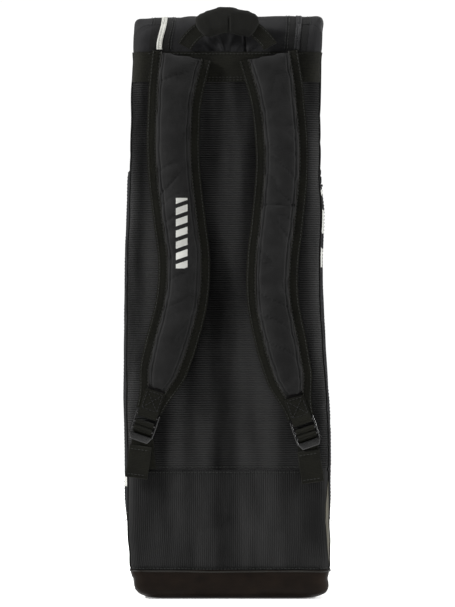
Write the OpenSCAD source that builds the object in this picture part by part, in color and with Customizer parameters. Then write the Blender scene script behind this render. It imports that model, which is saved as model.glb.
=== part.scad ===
// Racket tournament bag standing on its base, carrying straps facing -Y.
// Millimetres. Z is up, X is the width, Y is the depth, and the origin is at
// the bottom centre. Every sub-part is its own node, and the nodes of one
// moving body touch but never share volume.

/* [Body] */
// half width of the side walls just above the base
low_half = 130; // [110:1:150]
// half width of the side walls at the top seam
high_half = 119; // [95:1:140]
// half depth from the middle to the strap side
half_depth = 165; // [120:1:200]
// height of the flat top
top_z = 760; // [700:1:820]
// height of the seam under the top panel
seam_z = 711; // [660:1:760]
// height of the seam above the base cap
base_z = 39; // [25:1:60]
// thickness of the padded fabric walls
wall = 4; // [2:0.5:8]

/* [Zips] */
// distance of each main zip from the middle plane
zip_x = 85; // [70:1:100]
// height of the lower end of the main zips
zip_low_z = 100; // [60:1:160]
// thickness of the zip tapes
tape = 1.6; // [1:0.1:3]
// height of the coil above the tape
coil_rise = 1.4; // [0.8:0.1:2]
// free space between the two halves of a zip
split = 0.4; // [0.3:0.1:1]

/* [Straps] */
// thickness of the foam pad on each strap
pad_thick = 13; // [6:1:20]
// width of the binding tape along each strap edge
binding = 12; // [6:1:18]
// lean of the buckles away from the vertical
buckle_lean = 19; // [0:1:30]
// lean of the hanging webbing ends
tail_lean = 8; // [0:1:20]

/* [Hidden] */
// the list of sub-parts, and the one to draw

// heights and radii of the rounded outer form
curve_z = 40;
back_round = top_z - seam_z;
front_round = 70;
front_z = top_z - front_round;
back_corner = 16;
front_corner = 40;
hinge_y = -half_depth + back_corner;
cover_y = hinge_y + split;
tape_in = zip_x - 13;
tape_out = zip_x + 13;
near = zip_x - split / 2;
far = zip_x + split / 2;
coil_half = 3.4;
strap_back_y = -half_depth - 2;
strap_mid_y = strap_back_y - 3;
bar_y = -half_depth - 6;

function root(v) = sqrt(max(0, v));

// half width of the form at height z, grown by o
function half_x(z, o) =
    z < curve_z
    ? low_half - 36 + (36 + o) * root(1 - pow((curve_z - z) / (curve_z + o), 2))
    : z <= seam_z
    ? low_half + o - (z - curve_z) * (low_half - high_half) / (seam_z - curve_z)
    : high_half - 10 + (10 + o) * root(1 - pow((z - seam_z) / (back_round + o), 2));

// how far the form pulls in near the base along Y
function base_in(z, o) =
    z < curve_z
    ? (25 + o) * (1 - root(1 - pow((curve_z - z) / (curve_z + o), 2)))
    : 0;

// strap side of the form at height z, grown by o
function back_y(z, o) =
    z <= seam_z
    ? -half_depth - o + base_in(z, o)
    : -half_depth + back_round - root(pow(back_round + o, 2) - pow(z - seam_z, 2));

// far side of the form at height z, grown by o
function front_y(z, o) =
    z <= front_z
    ? half_depth + o - base_in(z, o)
    : half_depth - front_round + root(pow(front_round + o, 2) - pow(z - front_z, 2));

// heights of the rings that make the form
function levels(o) = concat(
    [for (k = [1, 0.93, 0.75, 0.45]) curve_z - (curve_z + o) * k],
    [curve_z, front_z, seam_z],
    [for (k = [0.3, 0.57, 0.8, 0.94, 1]) seam_z + (back_round + o) * k]
);

// one corner of a ring, as points on a quarter circle
function corner(cx, cy, r, a, n, z) =
    [for (i = [0:n]) [cx + r * cos(a + 90 * i / n), cy + r * sin(a + 90 * i / n), z]];

// one ring of points around the form
function ring(z, o) =
    let (hx = half_x(z, o), y0 = back_y(z, o), y1 = front_y(z, o))
    let (rb = back_corner + o, rf = front_corner + o)
    concat(
        corner(hx - rf, y1 - rf, rf, 0, 6, z),
        corner(-hx + rf, y1 - rf, rf, 90, 6, z),
        corner(-hx + rb, y0 + rb, rb, 180, 4, z),
        corner(hx - rb, y0 + rb, rb, 270, 4, z)
    );

// closed outer form of the bag, grown by o on every side
module form(o) {
    zs = levels(o);
    m = len(ring(curve_z, o));
    last = len(zs) - 1;
    points = [for (z = zs) for (p = ring(z, o)) p];
    sides = [
        for (i = [0:last - 1]) for (j = [0:m - 1])
            [i * m + j, (i + 1) * m + j, (i + 1) * m + (j + 1) % m, i * m + (j + 1) % m]
    ];
    bottom = [for (j = [0:m - 1]) j];
    top = [for (j = [m - 1:-1:0]) last * m + j];
    polyhedron(points = points, faces = concat(sides, [bottom], [top]));
}

// skin between two sizes of the form
module skin(outer, inner) {
    difference() {
        form(outer);
        form(inner);
    }
}

// box given by its low and high corners
module span(lo, hi) {
    translate(lo) cube(hi - lo);
}

// box between two distances from the middle plane, on one side of the bag
module side_span(side, x0, x1, y0, y1, z0, z1) {
    if (side < 0) {
        span([-x1, y0, z0], [-x0, y1, z1]);
    } else {
        span([x0, y0, z0], [x1, y1, z1]);
    }
}

// flat sheet that follows the slope of a side wall
module side_sheet(side, z0, z1, y0, y1, d0, d1) {
    a0 = side * (half_x(z0, 0) + d0);
    b0 = side * (half_x(z0, 0) + d1);
    a1 = side * (half_x(z1, 0) + d0);
    b1 = side * (half_x(z1, 0) + d1);
    translate([0, y1, 0]) rotate([90, 0, 0]) linear_extrude(height = y1 - y0)
        polygon([[a0, z0], [b0, z0], [b1, z1], [a1, z1]]);
}

// plate in the XZ plane between two depths
module plate_xz(y0, y1) {
    translate([0, y1, 0]) rotate([90, 0, 0]) linear_extrude(height = y1 - y0) children();
}

// ---- fixed core of the bag ----

module back_panel() {
    color("#26282b") intersection() {
        skin(0, -wall);
        span([-150, -190, 169], [150, hinge_y, seam_z]);
    }
}

module lower_back_panel() {
    color("#232528") intersection() {
        skin(0, -wall);
        span([-150, -190, base_z], [150, hinge_y, 169]);
    }
}

module base_cap() {
    color("#2a2622") intersection() {
        skin(0, -wall);
        span([-150, -190, -10], [150, 190, base_z]);
    }
}

module base_board() {
    color("#4a4a48") intersection() {
        form(-wall);
        span([-150, -190, 0], [150, 190, 7]);
    }
}

module back_pad() {
    color("#6b6f73") span([-98, -half_depth + wall, 45], [98, -half_depth + 10, 705]);
}

module divider_panel() {
    color("#3a3d42") intersection() {
        form(-wall);
        span([-1.5, -half_depth + 10, 7], [1.5, 190, 790]);
    }
}

module top_panel() {
    color("#2b2d31") intersection() {
        skin(0, -wall);
        union() {
            span([-tape_in, -190, seam_z], [tape_in, 0, 790]);
            span([-tape_in, 0, front_z], [tape_in, 190, 790]);
        }
    }
}

module front_strip() {
    color("#2b2d31") intersection() {
        skin(0, -wall);
        union() {
            span([-tape_in, 0, base_z], [tape_in, 190, front_z]);
            span([-near, 0, base_z], [near, 190, zip_low_z]);
        }
    }
}

module corner_gusset(side) {
    color("#2b2d31") intersection() {
        skin(0, -wall);
        side_span(side, tape_out, 150, -190, hinge_y, seam_z, 790);
    }
}

module left_corner_gusset() {
    corner_gusset(-1);
}

module right_corner_gusset() {
    corner_gusset(1);
}

module inner_tape(side) {
    color("#1d1e20") intersection() {
        skin(0, -tape);
        union() {
            side_span(side, tape_in, near, -190, 0, seam_z, 790);
            side_span(side, tape_in, near, 0, 190, zip_low_z, 790);
            side_span(side, tape_in, tape_out, -190, hinge_y, seam_z, 790);
        }
    }
}

module left_inner_tape() {
    inner_tape(-1);
}

module right_inner_tape() {
    inner_tape(1);
}

module inner_coil(side, tint) {
    color(tint) intersection() {
        skin(coil_rise, 0);
        union() {
            side_span(side, zip_x - coil_half, near, -190, 0, seam_z, 790);
            side_span(side, zip_x - coil_half, near, 0, 190, zip_low_z, 790);
            side_span(side, zip_x - coil_half, zip_x + coil_half, -190, hinge_y, seam_z, 790);
        }
    }
}

module left_inner_coil() {
    inner_coil(-1, "#e8e8e6");
}

module right_inner_coil() {
    inner_coil(1, "#202124");
}

module seam_band() {
    color("#2a2b26") intersection() {
        skin(1.2, 0);
        span([-150, -190, seam_z - 39], [150, hinge_y, seam_z]);
    }
}

module base_piping() {
    color("#55534c") intersection() {
        skin(1.6, 0);
        span([-150, -190, base_z - 3.2], [150, 190, base_z - 0.4]);
    }
}

module anchor_webbing(foot, head) {
    color("#2a2b26") plate_xz(-half_depth - 1.8, -half_depth)
        polygon([foot - [12.5, 0], foot + [12.5, 0], head + [12.5, 0], head - [12.5, 0]]);
}

module left_anchor_webbing() {
    anchor_webbing([-104.8, 170], [-109.5, 222]);
}

module right_anchor_webbing() {
    anchor_webbing([105, 170], [102.8, 216]);
}

module front_handle_web() {
    color("#2a2b26") translate([-14, 0, 0]) rotate([90, 0, 90]) linear_extrude(height = 28)
        polygon([
            [165, 300], [168, 300], [168, 328], [180, 350], [180, 470], [168, 492],
            [168, 520], [165, 520], [165, 490.5], [177, 468.5], [177, 351.5], [165, 329.5]
        ]);
}

module front_handle_grip() {
    color("#303338") difference() {
        span([-17, 174, 362], [17, 183, 458]);
        span([-14, 177, 350], [14, 180, 470]);
    }
}

// ---- covers that open about the edges beside the straps ----

module side_panel(side) {
    color("#2b2d31") intersection() {
        skin(0, -wall);
        side_span(side, far, 150, cover_y, 125, base_z + split, seam_z);
    }
}

module cover_lip(side) {
    color("#303236") intersection() {
        skin(0, -wall);
        union() {
            side_span(side, tape_out, 150, cover_y, 190, seam_z, 790);
            side_span(side, tape_out, 150, 125, 190, base_z + split, seam_z);
            side_span(side, far, tape_out, 125, 190, base_z + split, zip_low_z);
        }
    }
}

module outer_tape(side) {
    color("#1d1e20") intersection() {
        skin(0, -tape);
        union() {
            side_span(side, far, tape_out, cover_y, 0, seam_z, 790);
            side_span(side, far, tape_out, 0, 190, zip_low_z, 790);
        }
    }
}

module outer_coil(side, tint) {
    color(tint) intersection() {
        skin(coil_rise, 0);
        union() {
            side_span(side, far, zip_x + coil_half, cover_y, 0, seam_z, 790);
            side_span(side, far, zip_x + coil_half, 0, 190, zip_low_z, 790);
        }
    }
}

module left_side_panel() {
    side_panel(-1);
}

module left_cover_lip() {
    cover_lip(-1);
}

module left_outer_tape() {
    outer_tape(-1);
}

module left_outer_coil() {
    outer_coil(-1, "#e8e8e6");
}

module left_thermal_liner() {
    color("#b9bcc0") side_sheet(-1, 60, 690, -140, 120, -wall - 2, -wall - 0.05);
}

module left_overlay() {
    color("#232529") side_sheet(-1, 95, 560, -140, 118, 0.05, 4);
}

module right_side_panel() {
    side_panel(1);
}

module right_cover_lip() {
    cover_lip(1);
}

module right_outer_tape() {
    outer_tape(1);
}

module right_outer_coil() {
    outer_coil(1, "#202124");
}

module right_pocket_panel() {
    color("#232529") side_sheet(1, 95, 536, -140, 118, 0.05, 4);
}

module right_pocket_zip() {
    color("#1d1e20") {
        side_sheet(1, 536, 560, -140, 118, 0.05, 2.4);
        side_sheet(1, 545, 551, -132, 110, 2.4, 3.8);
    }
}

// ---- zip sliders, with the pin at the local origin and +Y outward ----

module slider_body(half_w, z0, z1) {
    color("#17181a") {
        span([-half_w, -4.1, z0], [half_w, -2.5, z1]);
        for (s = [-1, 1]) {
            translate([s * 3.1 - 0.7, -2.5, -1.6]) cube([1.4, 4.1, 3.2]);
        }
        rotate([0, 90, 0]) cylinder(r = 0.8, h = 6.2, center = true, $fn = 24);
    }
}

module puller_body() {
    color("#2c2e31") difference() {
        union() {
            rotate([0, 90, 0]) cylinder(r = 1.9, h = 3.8, center = true, $fn = 32);
            span([-1.9, -0.7, -5], [1.9, 0.7, 0]);
            span([-4, -0.7, -24], [4, 0.7, -4]);
            translate([0, 0.7, -24]) rotate([90, 0, 0]) cylinder(r = 4, h = 1.4, $fn = 32);
        }
        rotate([0, 90, 0]) cylinder(r = 1.1, h = 6, center = true, $fn = 32);
    }
}

module on_front(side, z) {
    translate([side * zip_x, half_depth + 6.4, z]) children();
}

module left_upper_slider() {
    on_front(-1, 566) slider_body(5.2, -16, 6);
}

module left_upper_puller() {
    on_front(-1, 566) puller_body();
}

module left_lower_slider() {
    on_front(-1, 533) slider_body(5.2, -6, 16);
}

module left_lower_puller() {
    on_front(-1, 533) puller_body();
}

module right_upper_slider() {
    on_front(1, 566) slider_body(5.2, -16, 6);
}

module right_upper_puller() {
    on_front(1, 566) puller_body();
}

module right_lower_slider() {
    on_front(1, 533) slider_body(5.2, -6, 16);
}

module right_lower_puller() {
    on_front(1, 533) puller_body();
}

module on_pocket() {
    translate([half_x(548, 0) + 8.9, 98, 548]) rotate([0, 0, -90]) children();
}

module pocket_slider() {
    on_pocket() slider_body(8, -5, 5);
}

module pocket_puller() {
    on_pocket() puller_body();
}

// ---- shoulder straps ----

left_line = [
    [-54, 735], [-58, 713], [-68, 648], [-70, 571], [-62, 493], [-56, 441],
    [-59, 389], [-72, 336], [-88, 283], [-101.5, 245.2]
];
right_line = [
    [49, 735], [53, 708], [65, 648], [71, 571], [65, 493], [59, 441],
    [59, 389], [69, 336], [82, 283], [95, 237.2]
];
left_bar = [-103.5, 239.5];
right_bar = [97, 231.5];

// point on a smooth curve through four control points
function blend4(a, b, c, d, t) =
    0.5 * (2 * b + (c - a) * t + (2 * a - 5 * b + 4 * c - d) * t * t
    + (3 * b - a - 3 * c + d) * t * t * t);

// smooth line through control points, n steps between each pair
function smooth(p, n) = concat(
    [for (i = [0:len(p) - 2]) for (k = [0:n - 1])
        blend4(p[max(i - 1, 0)], p[i], p[i + 1], p[min(i + 2, len(p) - 1)], k / n)],
    [p[len(p) - 1]]
);

// unit normal of a line at point i
function normal(p, i) =
    let (d = p[min(i + 1, len(p) - 1)] - p[max(i - 1, 0)])
    [-d[1], d[0]] / norm(d);

// half width of a strap at height z
function strap_half(z) =
    z > 640 ? 34 + (z - 640) * 4.5 / 68 : z > 330 ? 33 + (z - 330) / 310
    : max(27, 27 + (z - 250) * 6 / 80);

// outline of a strap, inset from both edges
function outline(p, inset) = concat(
    [for (i = [0:len(p) - 1]) p[i] + normal(p, i) * (strap_half(p[i][1]) - inset)],
    [for (i = [len(p) - 1:-1:0]) p[i] - normal(p, i) * (strap_half(p[i][1]) - inset)]
);

// local frame at a buckle bar, -Z along the strap
module at_bar(side, bar) {
    translate([bar[0], bar_y, bar[1]]) rotate([0, -side * buckle_lean, 0]) children();
}

module strap_backing(side, line, bar) {
    color("#2a2b26") intersection() {
        plate_xz(strap_mid_y, strap_back_y) polygon(outline(smooth(line, 4), 0));
        span([-150, -200, 200], [150, -150, seam_z - 3]);
    }
}

module strap_pad(side, line, bar) {
    color("#2f3237") difference() {
        intersection() {
            plate_xz(strap_mid_y - pad_thick, strap_mid_y)
                polygon(outline(smooth(line, 4), binding));
            span([-150, -200, 200], [150, -150, seam_z - 3]);
        }
        at_bar(side, bar) span([-60, -40, -30], [60, 40, 36]);
    }
}

module strap_patch(side, bar) {
    color("#2a2b26") at_bar(side, bar) difference() {
        union() {
            span([-13, -1.8, 2.6], [13, 1, 34]);
            rotate([0, 90, 0]) cylinder(r = 3.6, h = 26, center = true, $fn = 40);
        }
        rotate([0, 90, 0]) cylinder(r = 2.2, h = 30, center = true, $fn = 40);
    }
}

module buckle(side, bar) {
    color("#1b1c1e") at_bar(side, bar) {
        for (s = [-1, 1]) {
            translate([s * 14.9 - 1.1, -2.2, -27]) cube([2.2, 4.4, 30.4]);
        }
        rotate([0, 90, 0]) cylinder(r = 1.8, h = 28.8, center = true, $fn = 36);
        span([-14, -1.3, -12.5], [14, 1.3, -9.1]);
        span([-14, -1.3, -20.5], [14, 1.3, -17.1]);
        plate_xz(-2.2, 1.5) polygon([[-16, -26], [16, -26], [11.5, -35], [-11.5, -35]]);
    }
}

module at_hem(side, mid) {
    translate([mid[0], 0, mid[1]]) rotate([0, -side * tail_lean, 0]) children();
}

module tail_hem(side, mid) {
    color("#25261f") at_hem(side, mid) {
        span([-13, -half_depth - 7.3, -19], [13, -half_depth - 2.3, 19]);
        for (s = [-1, 1]) {
            translate([0, -half_depth - 4.8, s * 19]) rotate([0, 90, 0])
                cylinder(r = 2.5, h = 26, center = true, $fn = 32);
        }
    }
}

module tail_webbing(side, mid) {
    color("#2a2b26") at_hem(side, mid)
        span([-12.5, -half_depth - 3.6, 21.9], [12.5, -half_depth - 2.4, 36]);
}

module left_strap_backing() {
    strap_backing(-1, left_line, left_bar);
}

module left_strap_pad() {
    strap_pad(-1, left_line, left_bar);
}

module left_strap_patch() {
    strap_patch(-1, left_bar);
}

module left_buckle() {
    buckle(-1, left_bar);
}

module left_tail_webbing() {
    tail_webbing(-1, [-115, 179.5]);
}

module left_tail_hem() {
    tail_hem(-1, [-115, 179.5]);
}

module right_strap_backing() {
    strap_backing(1, right_line, right_bar);
}

module right_strap_pad() {
    strap_pad(1, right_line, right_bar);
}

module right_strap_patch() {
    strap_patch(1, right_bar);
}

module right_buckle() {
    buckle(1, right_bar);
}

module right_tail_webbing() {
    tail_webbing(1, [108, 173.5]);
}

module right_tail_hem() {
    tail_hem(1, [108, 173.5]);
}

// ---- top carrying handle ----

module arch(angle) {
    translate([0, -half_depth - 4, top_z - 74]) rotate([90, 0, 0]) rotate([0, 0, 90 - angle / 2])
        rotate_extrude(angle = angle, $fn = 96) children();
}

module top_handle_web() {
    color("#2a2b26") intersection() {
        arch(128) translate([54, -1.2]) square([20, 2.4]);
        span([-90, -190, seam_z + 4.6], [90, -150, 790]);
    }
}

module top_handle_grip() {
    color("#303338") arch(70) difference() {
        union() {
            translate([53, -7]) square([23, 14]);
            translate([53, 0]) circle(r = 7, $fn = 32);
            translate([76, 0]) circle(r = 7, $fn = 32);
        }
        translate([54, -1.2]) square([20, 2.4]);
    }
}

back_panel();
lower_back_panel();
base_cap();
base_board();
back_pad();
divider_panel();
top_panel();
front_strip();
left_corner_gusset();
right_corner_gusset();
left_inner_tape();
right_inner_tape();
left_inner_coil();
right_inner_coil();
seam_band();
base_piping();
left_anchor_webbing();
right_anchor_webbing();
front_handle_web();
front_handle_grip();
left_side_panel();
left_cover_lip();
left_outer_tape();
left_outer_coil();
left_thermal_liner();
left_overlay();
right_side_panel();
right_cover_lip();
right_outer_tape();
right_outer_coil();
right_pocket_panel();
right_pocket_zip();
left_upper_slider();
left_upper_puller();
left_lower_slider();
left_lower_puller();
right_upper_slider();
right_upper_puller();
right_lower_slider();
right_lower_puller();
pocket_slider();
pocket_puller();
left_strap_backing();
left_strap_pad();
left_strap_patch();
left_buckle();
left_tail_webbing();
left_tail_hem();
right_strap_backing();
right_strap_pad();
right_strap_patch();
right_buckle();
right_tail_webbing();
right_tail_hem();
top_handle_web();
top_handle_grip();
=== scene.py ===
"""Racket tournament bag standing on its base: soft shell, zips, straps, buckles and handles
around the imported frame.  Metres, +Z up, carrying straps towards -Y.

The body is one loft.  A closed outline runs up the strap side, over the top, down the far side
and back underneath; at each point of it a cross line runs level from the middle plane, turns
round an edge of radius r and goes on down the side wall.  Every panel, tape and coil is a patch
of that one loft, so neighbours meet, and the same settling (lean, bulge, folds) moves them all.
"""
import math

import bmesh
import bpy
import numpy as np
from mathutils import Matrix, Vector


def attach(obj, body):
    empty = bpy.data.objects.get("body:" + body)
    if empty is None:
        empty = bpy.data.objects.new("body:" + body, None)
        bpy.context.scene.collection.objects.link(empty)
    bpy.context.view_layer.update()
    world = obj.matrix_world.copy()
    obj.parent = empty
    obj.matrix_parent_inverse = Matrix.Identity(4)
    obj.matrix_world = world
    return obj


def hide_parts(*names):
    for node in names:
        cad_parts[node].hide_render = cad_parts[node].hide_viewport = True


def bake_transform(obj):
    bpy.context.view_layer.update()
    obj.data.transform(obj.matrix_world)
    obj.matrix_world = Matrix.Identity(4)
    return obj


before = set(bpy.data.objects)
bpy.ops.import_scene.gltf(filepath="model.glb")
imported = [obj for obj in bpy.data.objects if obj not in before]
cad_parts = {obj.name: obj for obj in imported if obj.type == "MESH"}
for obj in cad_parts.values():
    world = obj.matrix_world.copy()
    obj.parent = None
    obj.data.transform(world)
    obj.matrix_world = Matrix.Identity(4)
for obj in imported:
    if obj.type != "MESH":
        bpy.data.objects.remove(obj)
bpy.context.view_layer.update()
PI = math.pi


# ---------------------------------------------------------------- colour and node helpers

def linear(hex_code):
    """sRGB hex to linear RGBA."""
    c = np.array([int(hex_code[i:i + 2], 16) / 255 for i in (1, 3, 5)])
    c = np.where(c <= 0.04045, c / 12.92, ((c + 0.055) / 1.055) ** 2.4)
    return (*c.tolist(), 1.0)


def add(tree, kind, inputs=(), **settings):
    """One node with its settings; each input is a value or a socket to link."""
    made = tree.nodes.new(kind)
    for key, value in settings.items():
        setattr(made, key, value)
    for key, value in dict(inputs).items():
        if isinstance(value, bpy.types.NodeSocket):
            tree.links.new(value, made.inputs[key])
        else:
            made.inputs[key].default_value = value
    return made.outputs


def blank(name, rough, sheen=0.0, specular=0.3, metallic=0.0, coat=0.0):
    """A new material with one Principled shader, its constant values set on its own sockets."""
    made = bpy.data.materials.new(name)
    made.use_nodes = True
    tree = made.node_tree
    tree.nodes.clear()
    out = tree.nodes.new("ShaderNodeOutputMaterial")
    bsdf = tree.nodes.new("ShaderNodeBsdfPrincipled")
    tree.links.new(bsdf.outputs[0], out.inputs[0])
    bsdf.inputs["Roughness"].default_value = rough
    bsdf.inputs["Specular IOR Level"].default_value = specular
    bsdf.inputs["Metallic"].default_value = metallic
    bsdf.inputs["Sheen Weight"].default_value = sheen
    bsdf.inputs["Sheen Roughness"].default_value = 0.6
    bsdf.inputs["Coat Weight"].default_value = coat
    bsdf.inputs["Coat Roughness"].default_value = 0.25
    return made, tree, bsdf


def wave(tree, value, pitch, power=1.0):
    """0..1 ridges of that pitch along a coordinate: the absolute sine, raised to a power."""
    turned = add(tree, "ShaderNodeMath", {0: value, 1: PI / pitch}, operation="MULTIPLY")[0]
    sine = add(tree, "ShaderNodeMath", {0: turned}, operation="SINE")[0]
    ridge = add(tree, "ShaderNodeMath", {0: sine}, operation="ABSOLUTE")[0]
    if power == 1.0:
        return ridge
    return add(tree, "ShaderNodeMath", {0: ridge, 1: power}, operation="POWER")[0]


def window(tree, value, low, high):
    """1 where the value lies between low and high, else 0."""
    above = add(tree, "ShaderNodeMath", {0: value, 1: low}, operation="GREATER_THAN")[0]
    below = add(tree, "ShaderNodeMath", {0: value, 1: high}, operation="LESS_THAN")[0]
    return add(tree, "ShaderNodeMath", {0: above, 1: below}, operation="MULTIPLY")[0]


CLOTH_ROUGH = 0.82
INK = "#a3a39f"


def cloth(name, dark, light, thread=0.0016, rib=0.0, along="v", rib_lift=0.0004,
          weave_lift=0.00015, sheen=0.02, specular=0.06, patch=1.1, bars=None, holes=0.0,
          on="uv", fold_shade_stretch=1.0):
    """Woven or knitted cloth.  Height is warp ridges times weft ridges, plus ribs of one pitch
    along u or v; colour runs dark in the valleys to light on the ridges, painted shade and
    highlight over the bump, with slow patches of uneven tone and painted shade on top.
    bars = (u0, u1, v0, v1, pitch, slant) prints pale slanted bars inside a window.
    on="object" weaves along the object's own X and Z instead of its UV map.  The upright
    stretch, above 1, draws the patches out upright, as wide as before and that many times as
    tall: painted light and shade of upright folds."""
    made, tree, bsdf = blank(name, CLOTH_ROUGH, sheen, specular)
    if on == "object":
        uv = add(tree, "ShaderNodeTexCoord")[3]
        split = add(tree, "ShaderNodeSeparateXYZ", {0: uv})
        u, v = split[0], split[2]
    else:
        uv = add(tree, "ShaderNodeUVMap", uv_map="UVMap")[0]
        split = add(tree, "ShaderNodeSeparateXYZ", {0: uv})
        u, v = split[0], split[1]
    warp = wave(tree, u, thread)
    weft = wave(tree, v, thread)
    weave = add(tree, "ShaderNodeMath", {0: warp, 1: weft}, operation="MULTIPLY")[0]
    place = add(tree, "ShaderNodeTexCoord")[3]
    # stretched upright, the slow noise paints the light and shade of upright folds
    tall = add(tree, "ShaderNodeMapping", {"Vector": place, "Scale": (1.0, 1.0, 1.0 / fold_shade_stretch)})[0]
    slow = add(tree, "ShaderNodeTexNoise", {"Vector": tall, "Scale": 34.0, "Detail": 5.0,
                                            "Roughness": 0.62 if fold_shade_stretch == 1.0 else 0.4})[0]
    fine = add(tree, "ShaderNodeTexNoise", {"Vector": place, "Scale": 520.0, "Detail": 2.0})[0]
    height = add(tree, "ShaderNodeMath", {0: weave, 1: weave_lift}, operation="MULTIPLY")[0]
    fuzz = add(tree, "ShaderNodeMath", {0: fine, 1: weave_lift * 1.5, 2: height},
               operation="MULTIPLY_ADD")[0]
    # weave and ribs also set the colour, darker in the valleys and lighter on the ridges: painted
    # shade and highlight over the bump
    height, shade = fuzz, weave
    if rib:
        ribs = wave(tree, v if along == "v" else u, rib, 0.7)
        height = add(tree, "ShaderNodeMath", {0: ribs, 1: rib_lift, 2: fuzz},
                     operation="MULTIPLY_ADD")[0]
        shade = add(tree, "ShaderNodeMath", {0: ribs, 1: 1.3, 2: -0.25},
                    operation="MULTIPLY_ADD")[0]
    if holes:
        cells = add(tree, "ShaderNodeTexVoronoi", {"Vector": uv, "Scale": 1.0 / holes,
                                                   "Randomness": 0.25})[0]
        shade = add(tree, "ShaderNodeMath", {0: cells, 1: 0.5, 2: shade},
                    operation="MULTIPLY_ADD")[0]
    # slow patches in the colour: uneven tone, and painted shade of folds where stretched upright
    mottle_and_shade = add(tree, "ShaderNodeMath", {0: slow, 1: patch, 2: -patch * 0.5},
                operation="MULTIPLY_ADD")[0]
    grain = add(tree, "ShaderNodeMath", {0: shade, 1: 0.55, 2: mottle_and_shade},
                operation="MULTIPLY_ADD", use_clamp=True)[0]
    colour = add(tree, "ShaderNodeMix", {0: grain, 6: linear(dark), 7: linear(light)},
                 data_type="RGBA")[2]
    if bars:
        inside = add(tree, "ShaderNodeMath", {0: window(tree, u, bars[0], bars[1]),
                                              1: window(tree, v, bars[2], bars[3])},
                     operation="MULTIPLY")[0]
        lean = add(tree, "ShaderNodeMath", {0: u, 1: bars[5], 2: v}, operation="MULTIPLY_ADD")[0]
        steps = add(tree, "ShaderNodeMath", {0: lean, 1: bars[4]}, operation="DIVIDE")[0]
        part = add(tree, "ShaderNodeMath", {0: steps}, operation="FRACT")[0]
        ink = add(tree, "ShaderNodeMath", {0: window(tree, part, 0.0, 0.62), 1: inside},
                  operation="MULTIPLY")[0]
        ink = add(tree, "ShaderNodeMath", {0: ink, 1: 0.9}, operation="MULTIPLY")[0]
        colour = add(tree, "ShaderNodeMix", {0: ink, 6: colour, 7: linear(INK)},
                     data_type="RGBA")[2]
    bump = add(tree, "ShaderNodeBump", {"Height": height, "Distance": 1.0, "Strength": 0.8})[0]
    tree.links.new(colour, bsdf.inputs["Base Color"])
    tree.links.new(bump, bsdf.inputs["Normal"])
    return made


def moulded(name, dark, light, rough=0.35, specular=0.5, grain=900.0, lift=0.00003, coat=0.0,
            metallic=0.0):
    """Moulded or cast surface: one colour with slow wear and a fine spark-eroded grain."""
    made, tree, bsdf = blank(name, rough, 0.0, specular, metallic, coat)
    place = add(tree, "ShaderNodeTexCoord")[3]
    slow = add(tree, "ShaderNodeTexNoise", {"Vector": place, "Scale": 60.0, "Detail": 5.0})[0]
    fine = add(tree, "ShaderNodeTexNoise", {"Vector": place, "Scale": grain, "Detail": 2.0})[0]
    colour = add(tree, "ShaderNodeMix", {0: slow, 6: linear(dark), 7: linear(light)},
                 data_type="RGBA")[2]
    worn = add(tree, "ShaderNodeMapRange", {0: slow, 3: rough - 0.08, 4: rough + 0.12})[0]
    height = add(tree, "ShaderNodeMath", {0: fine, 1: lift}, operation="MULTIPLY")[0]
    bump = add(tree, "ShaderNodeBump", {"Height": height, "Distance": 1.0, "Strength": 0.8})[0]
    tree.links.new(colour, bsdf.inputs["Base Color"])
    tree.links.new(worn, bsdf.inputs["Roughness"])
    tree.links.new(bump, bsdf.inputs["Normal"])
    return made


# Polyester spacer mesh, circular knitted: fine level ribs 2.9 mm apart, matt and very dark.
# Its slow patches, six times as tall as wide, are painted light and shade of soft upright folds; its
# dark rib valleys and light ridges are painted shade and highlight.
RIBBED_MESH = cloth("knitted_spacer_mesh", "#010101", "#242424", thread=0.0014, rib=0.0029,
                    patch=2.6, fold_shade_stretch=6.0, rib_lift=0.0014, holes=0.0019, sheen=0.012)
# Dobby woven polyester, on the lower back: matt, with fine upright ribs 2.7 mm apart.
# Its slow patches, four times as tall as wide, are painted light and shade of soft upright folds;
# its dark rib valleys and light ridges are painted shade and highlight.
RIBBED_DOBBY = cloth("upright_ribbed_dobby", "#060606", "#232323", thread=0.0015, rib=0.0027,
                     patch=1.7, fold_shade_stretch=4.0, along="u", rib_lift=0.0008)
# 600-denier polyester plain weave, the main shell cloth: near black and matt, a faint grid.
SHELL_CLOTH = cloth("plain_weave_polyester", "#0e0e0f", "#232324", thread=0.0013, sheen=0.02)
# PVC coated tarpaulin on the base: smooth, brownish, with a low gloss from the calender rolls.
BASE_COATING = moulded("calendered_tarpaulin", "#060403", "#1a130e", rough=0.32, specular=0.034,
                       grain=420.0, lift=0.00012)
# Polypropylene webbing, herringbone: ribs across the tape, greenish black.
WEBBING = cloth("herringbone_webbing", "#060604", "#14140e", thread=0.0011, rib=0.0021,
                rib_lift=0.0003, weave_lift=0.0002)
# Woven polyester zip tape: flat and matt, with a shallow rib along its edge.
TAPE_CLOTH = cloth("woven_zip_tape", "#080808", "#151515", thread=0.0011, rib=0.0018,
                   rib_lift=0.0002)
# Brushed polyester on the straps' backing: matt with a soft pale sheen at grazing angles.
STRAP_CLOTH = cloth("brushed_strap_cloth", "#0a0909", "#1c1b1b", thread=0.0012, sheen=0.03)
# Taffeta lining, plain woven filament: grey and a little smoother than the shell.
LINING = cloth("taffeta_lining", "#2b2d31", "#4a4d54", thread=0.0009, weave_lift=0.0001,
               sheen=0.03, specular=0.15)


# ---------------------------------------------------------------- mesh helpers

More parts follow.
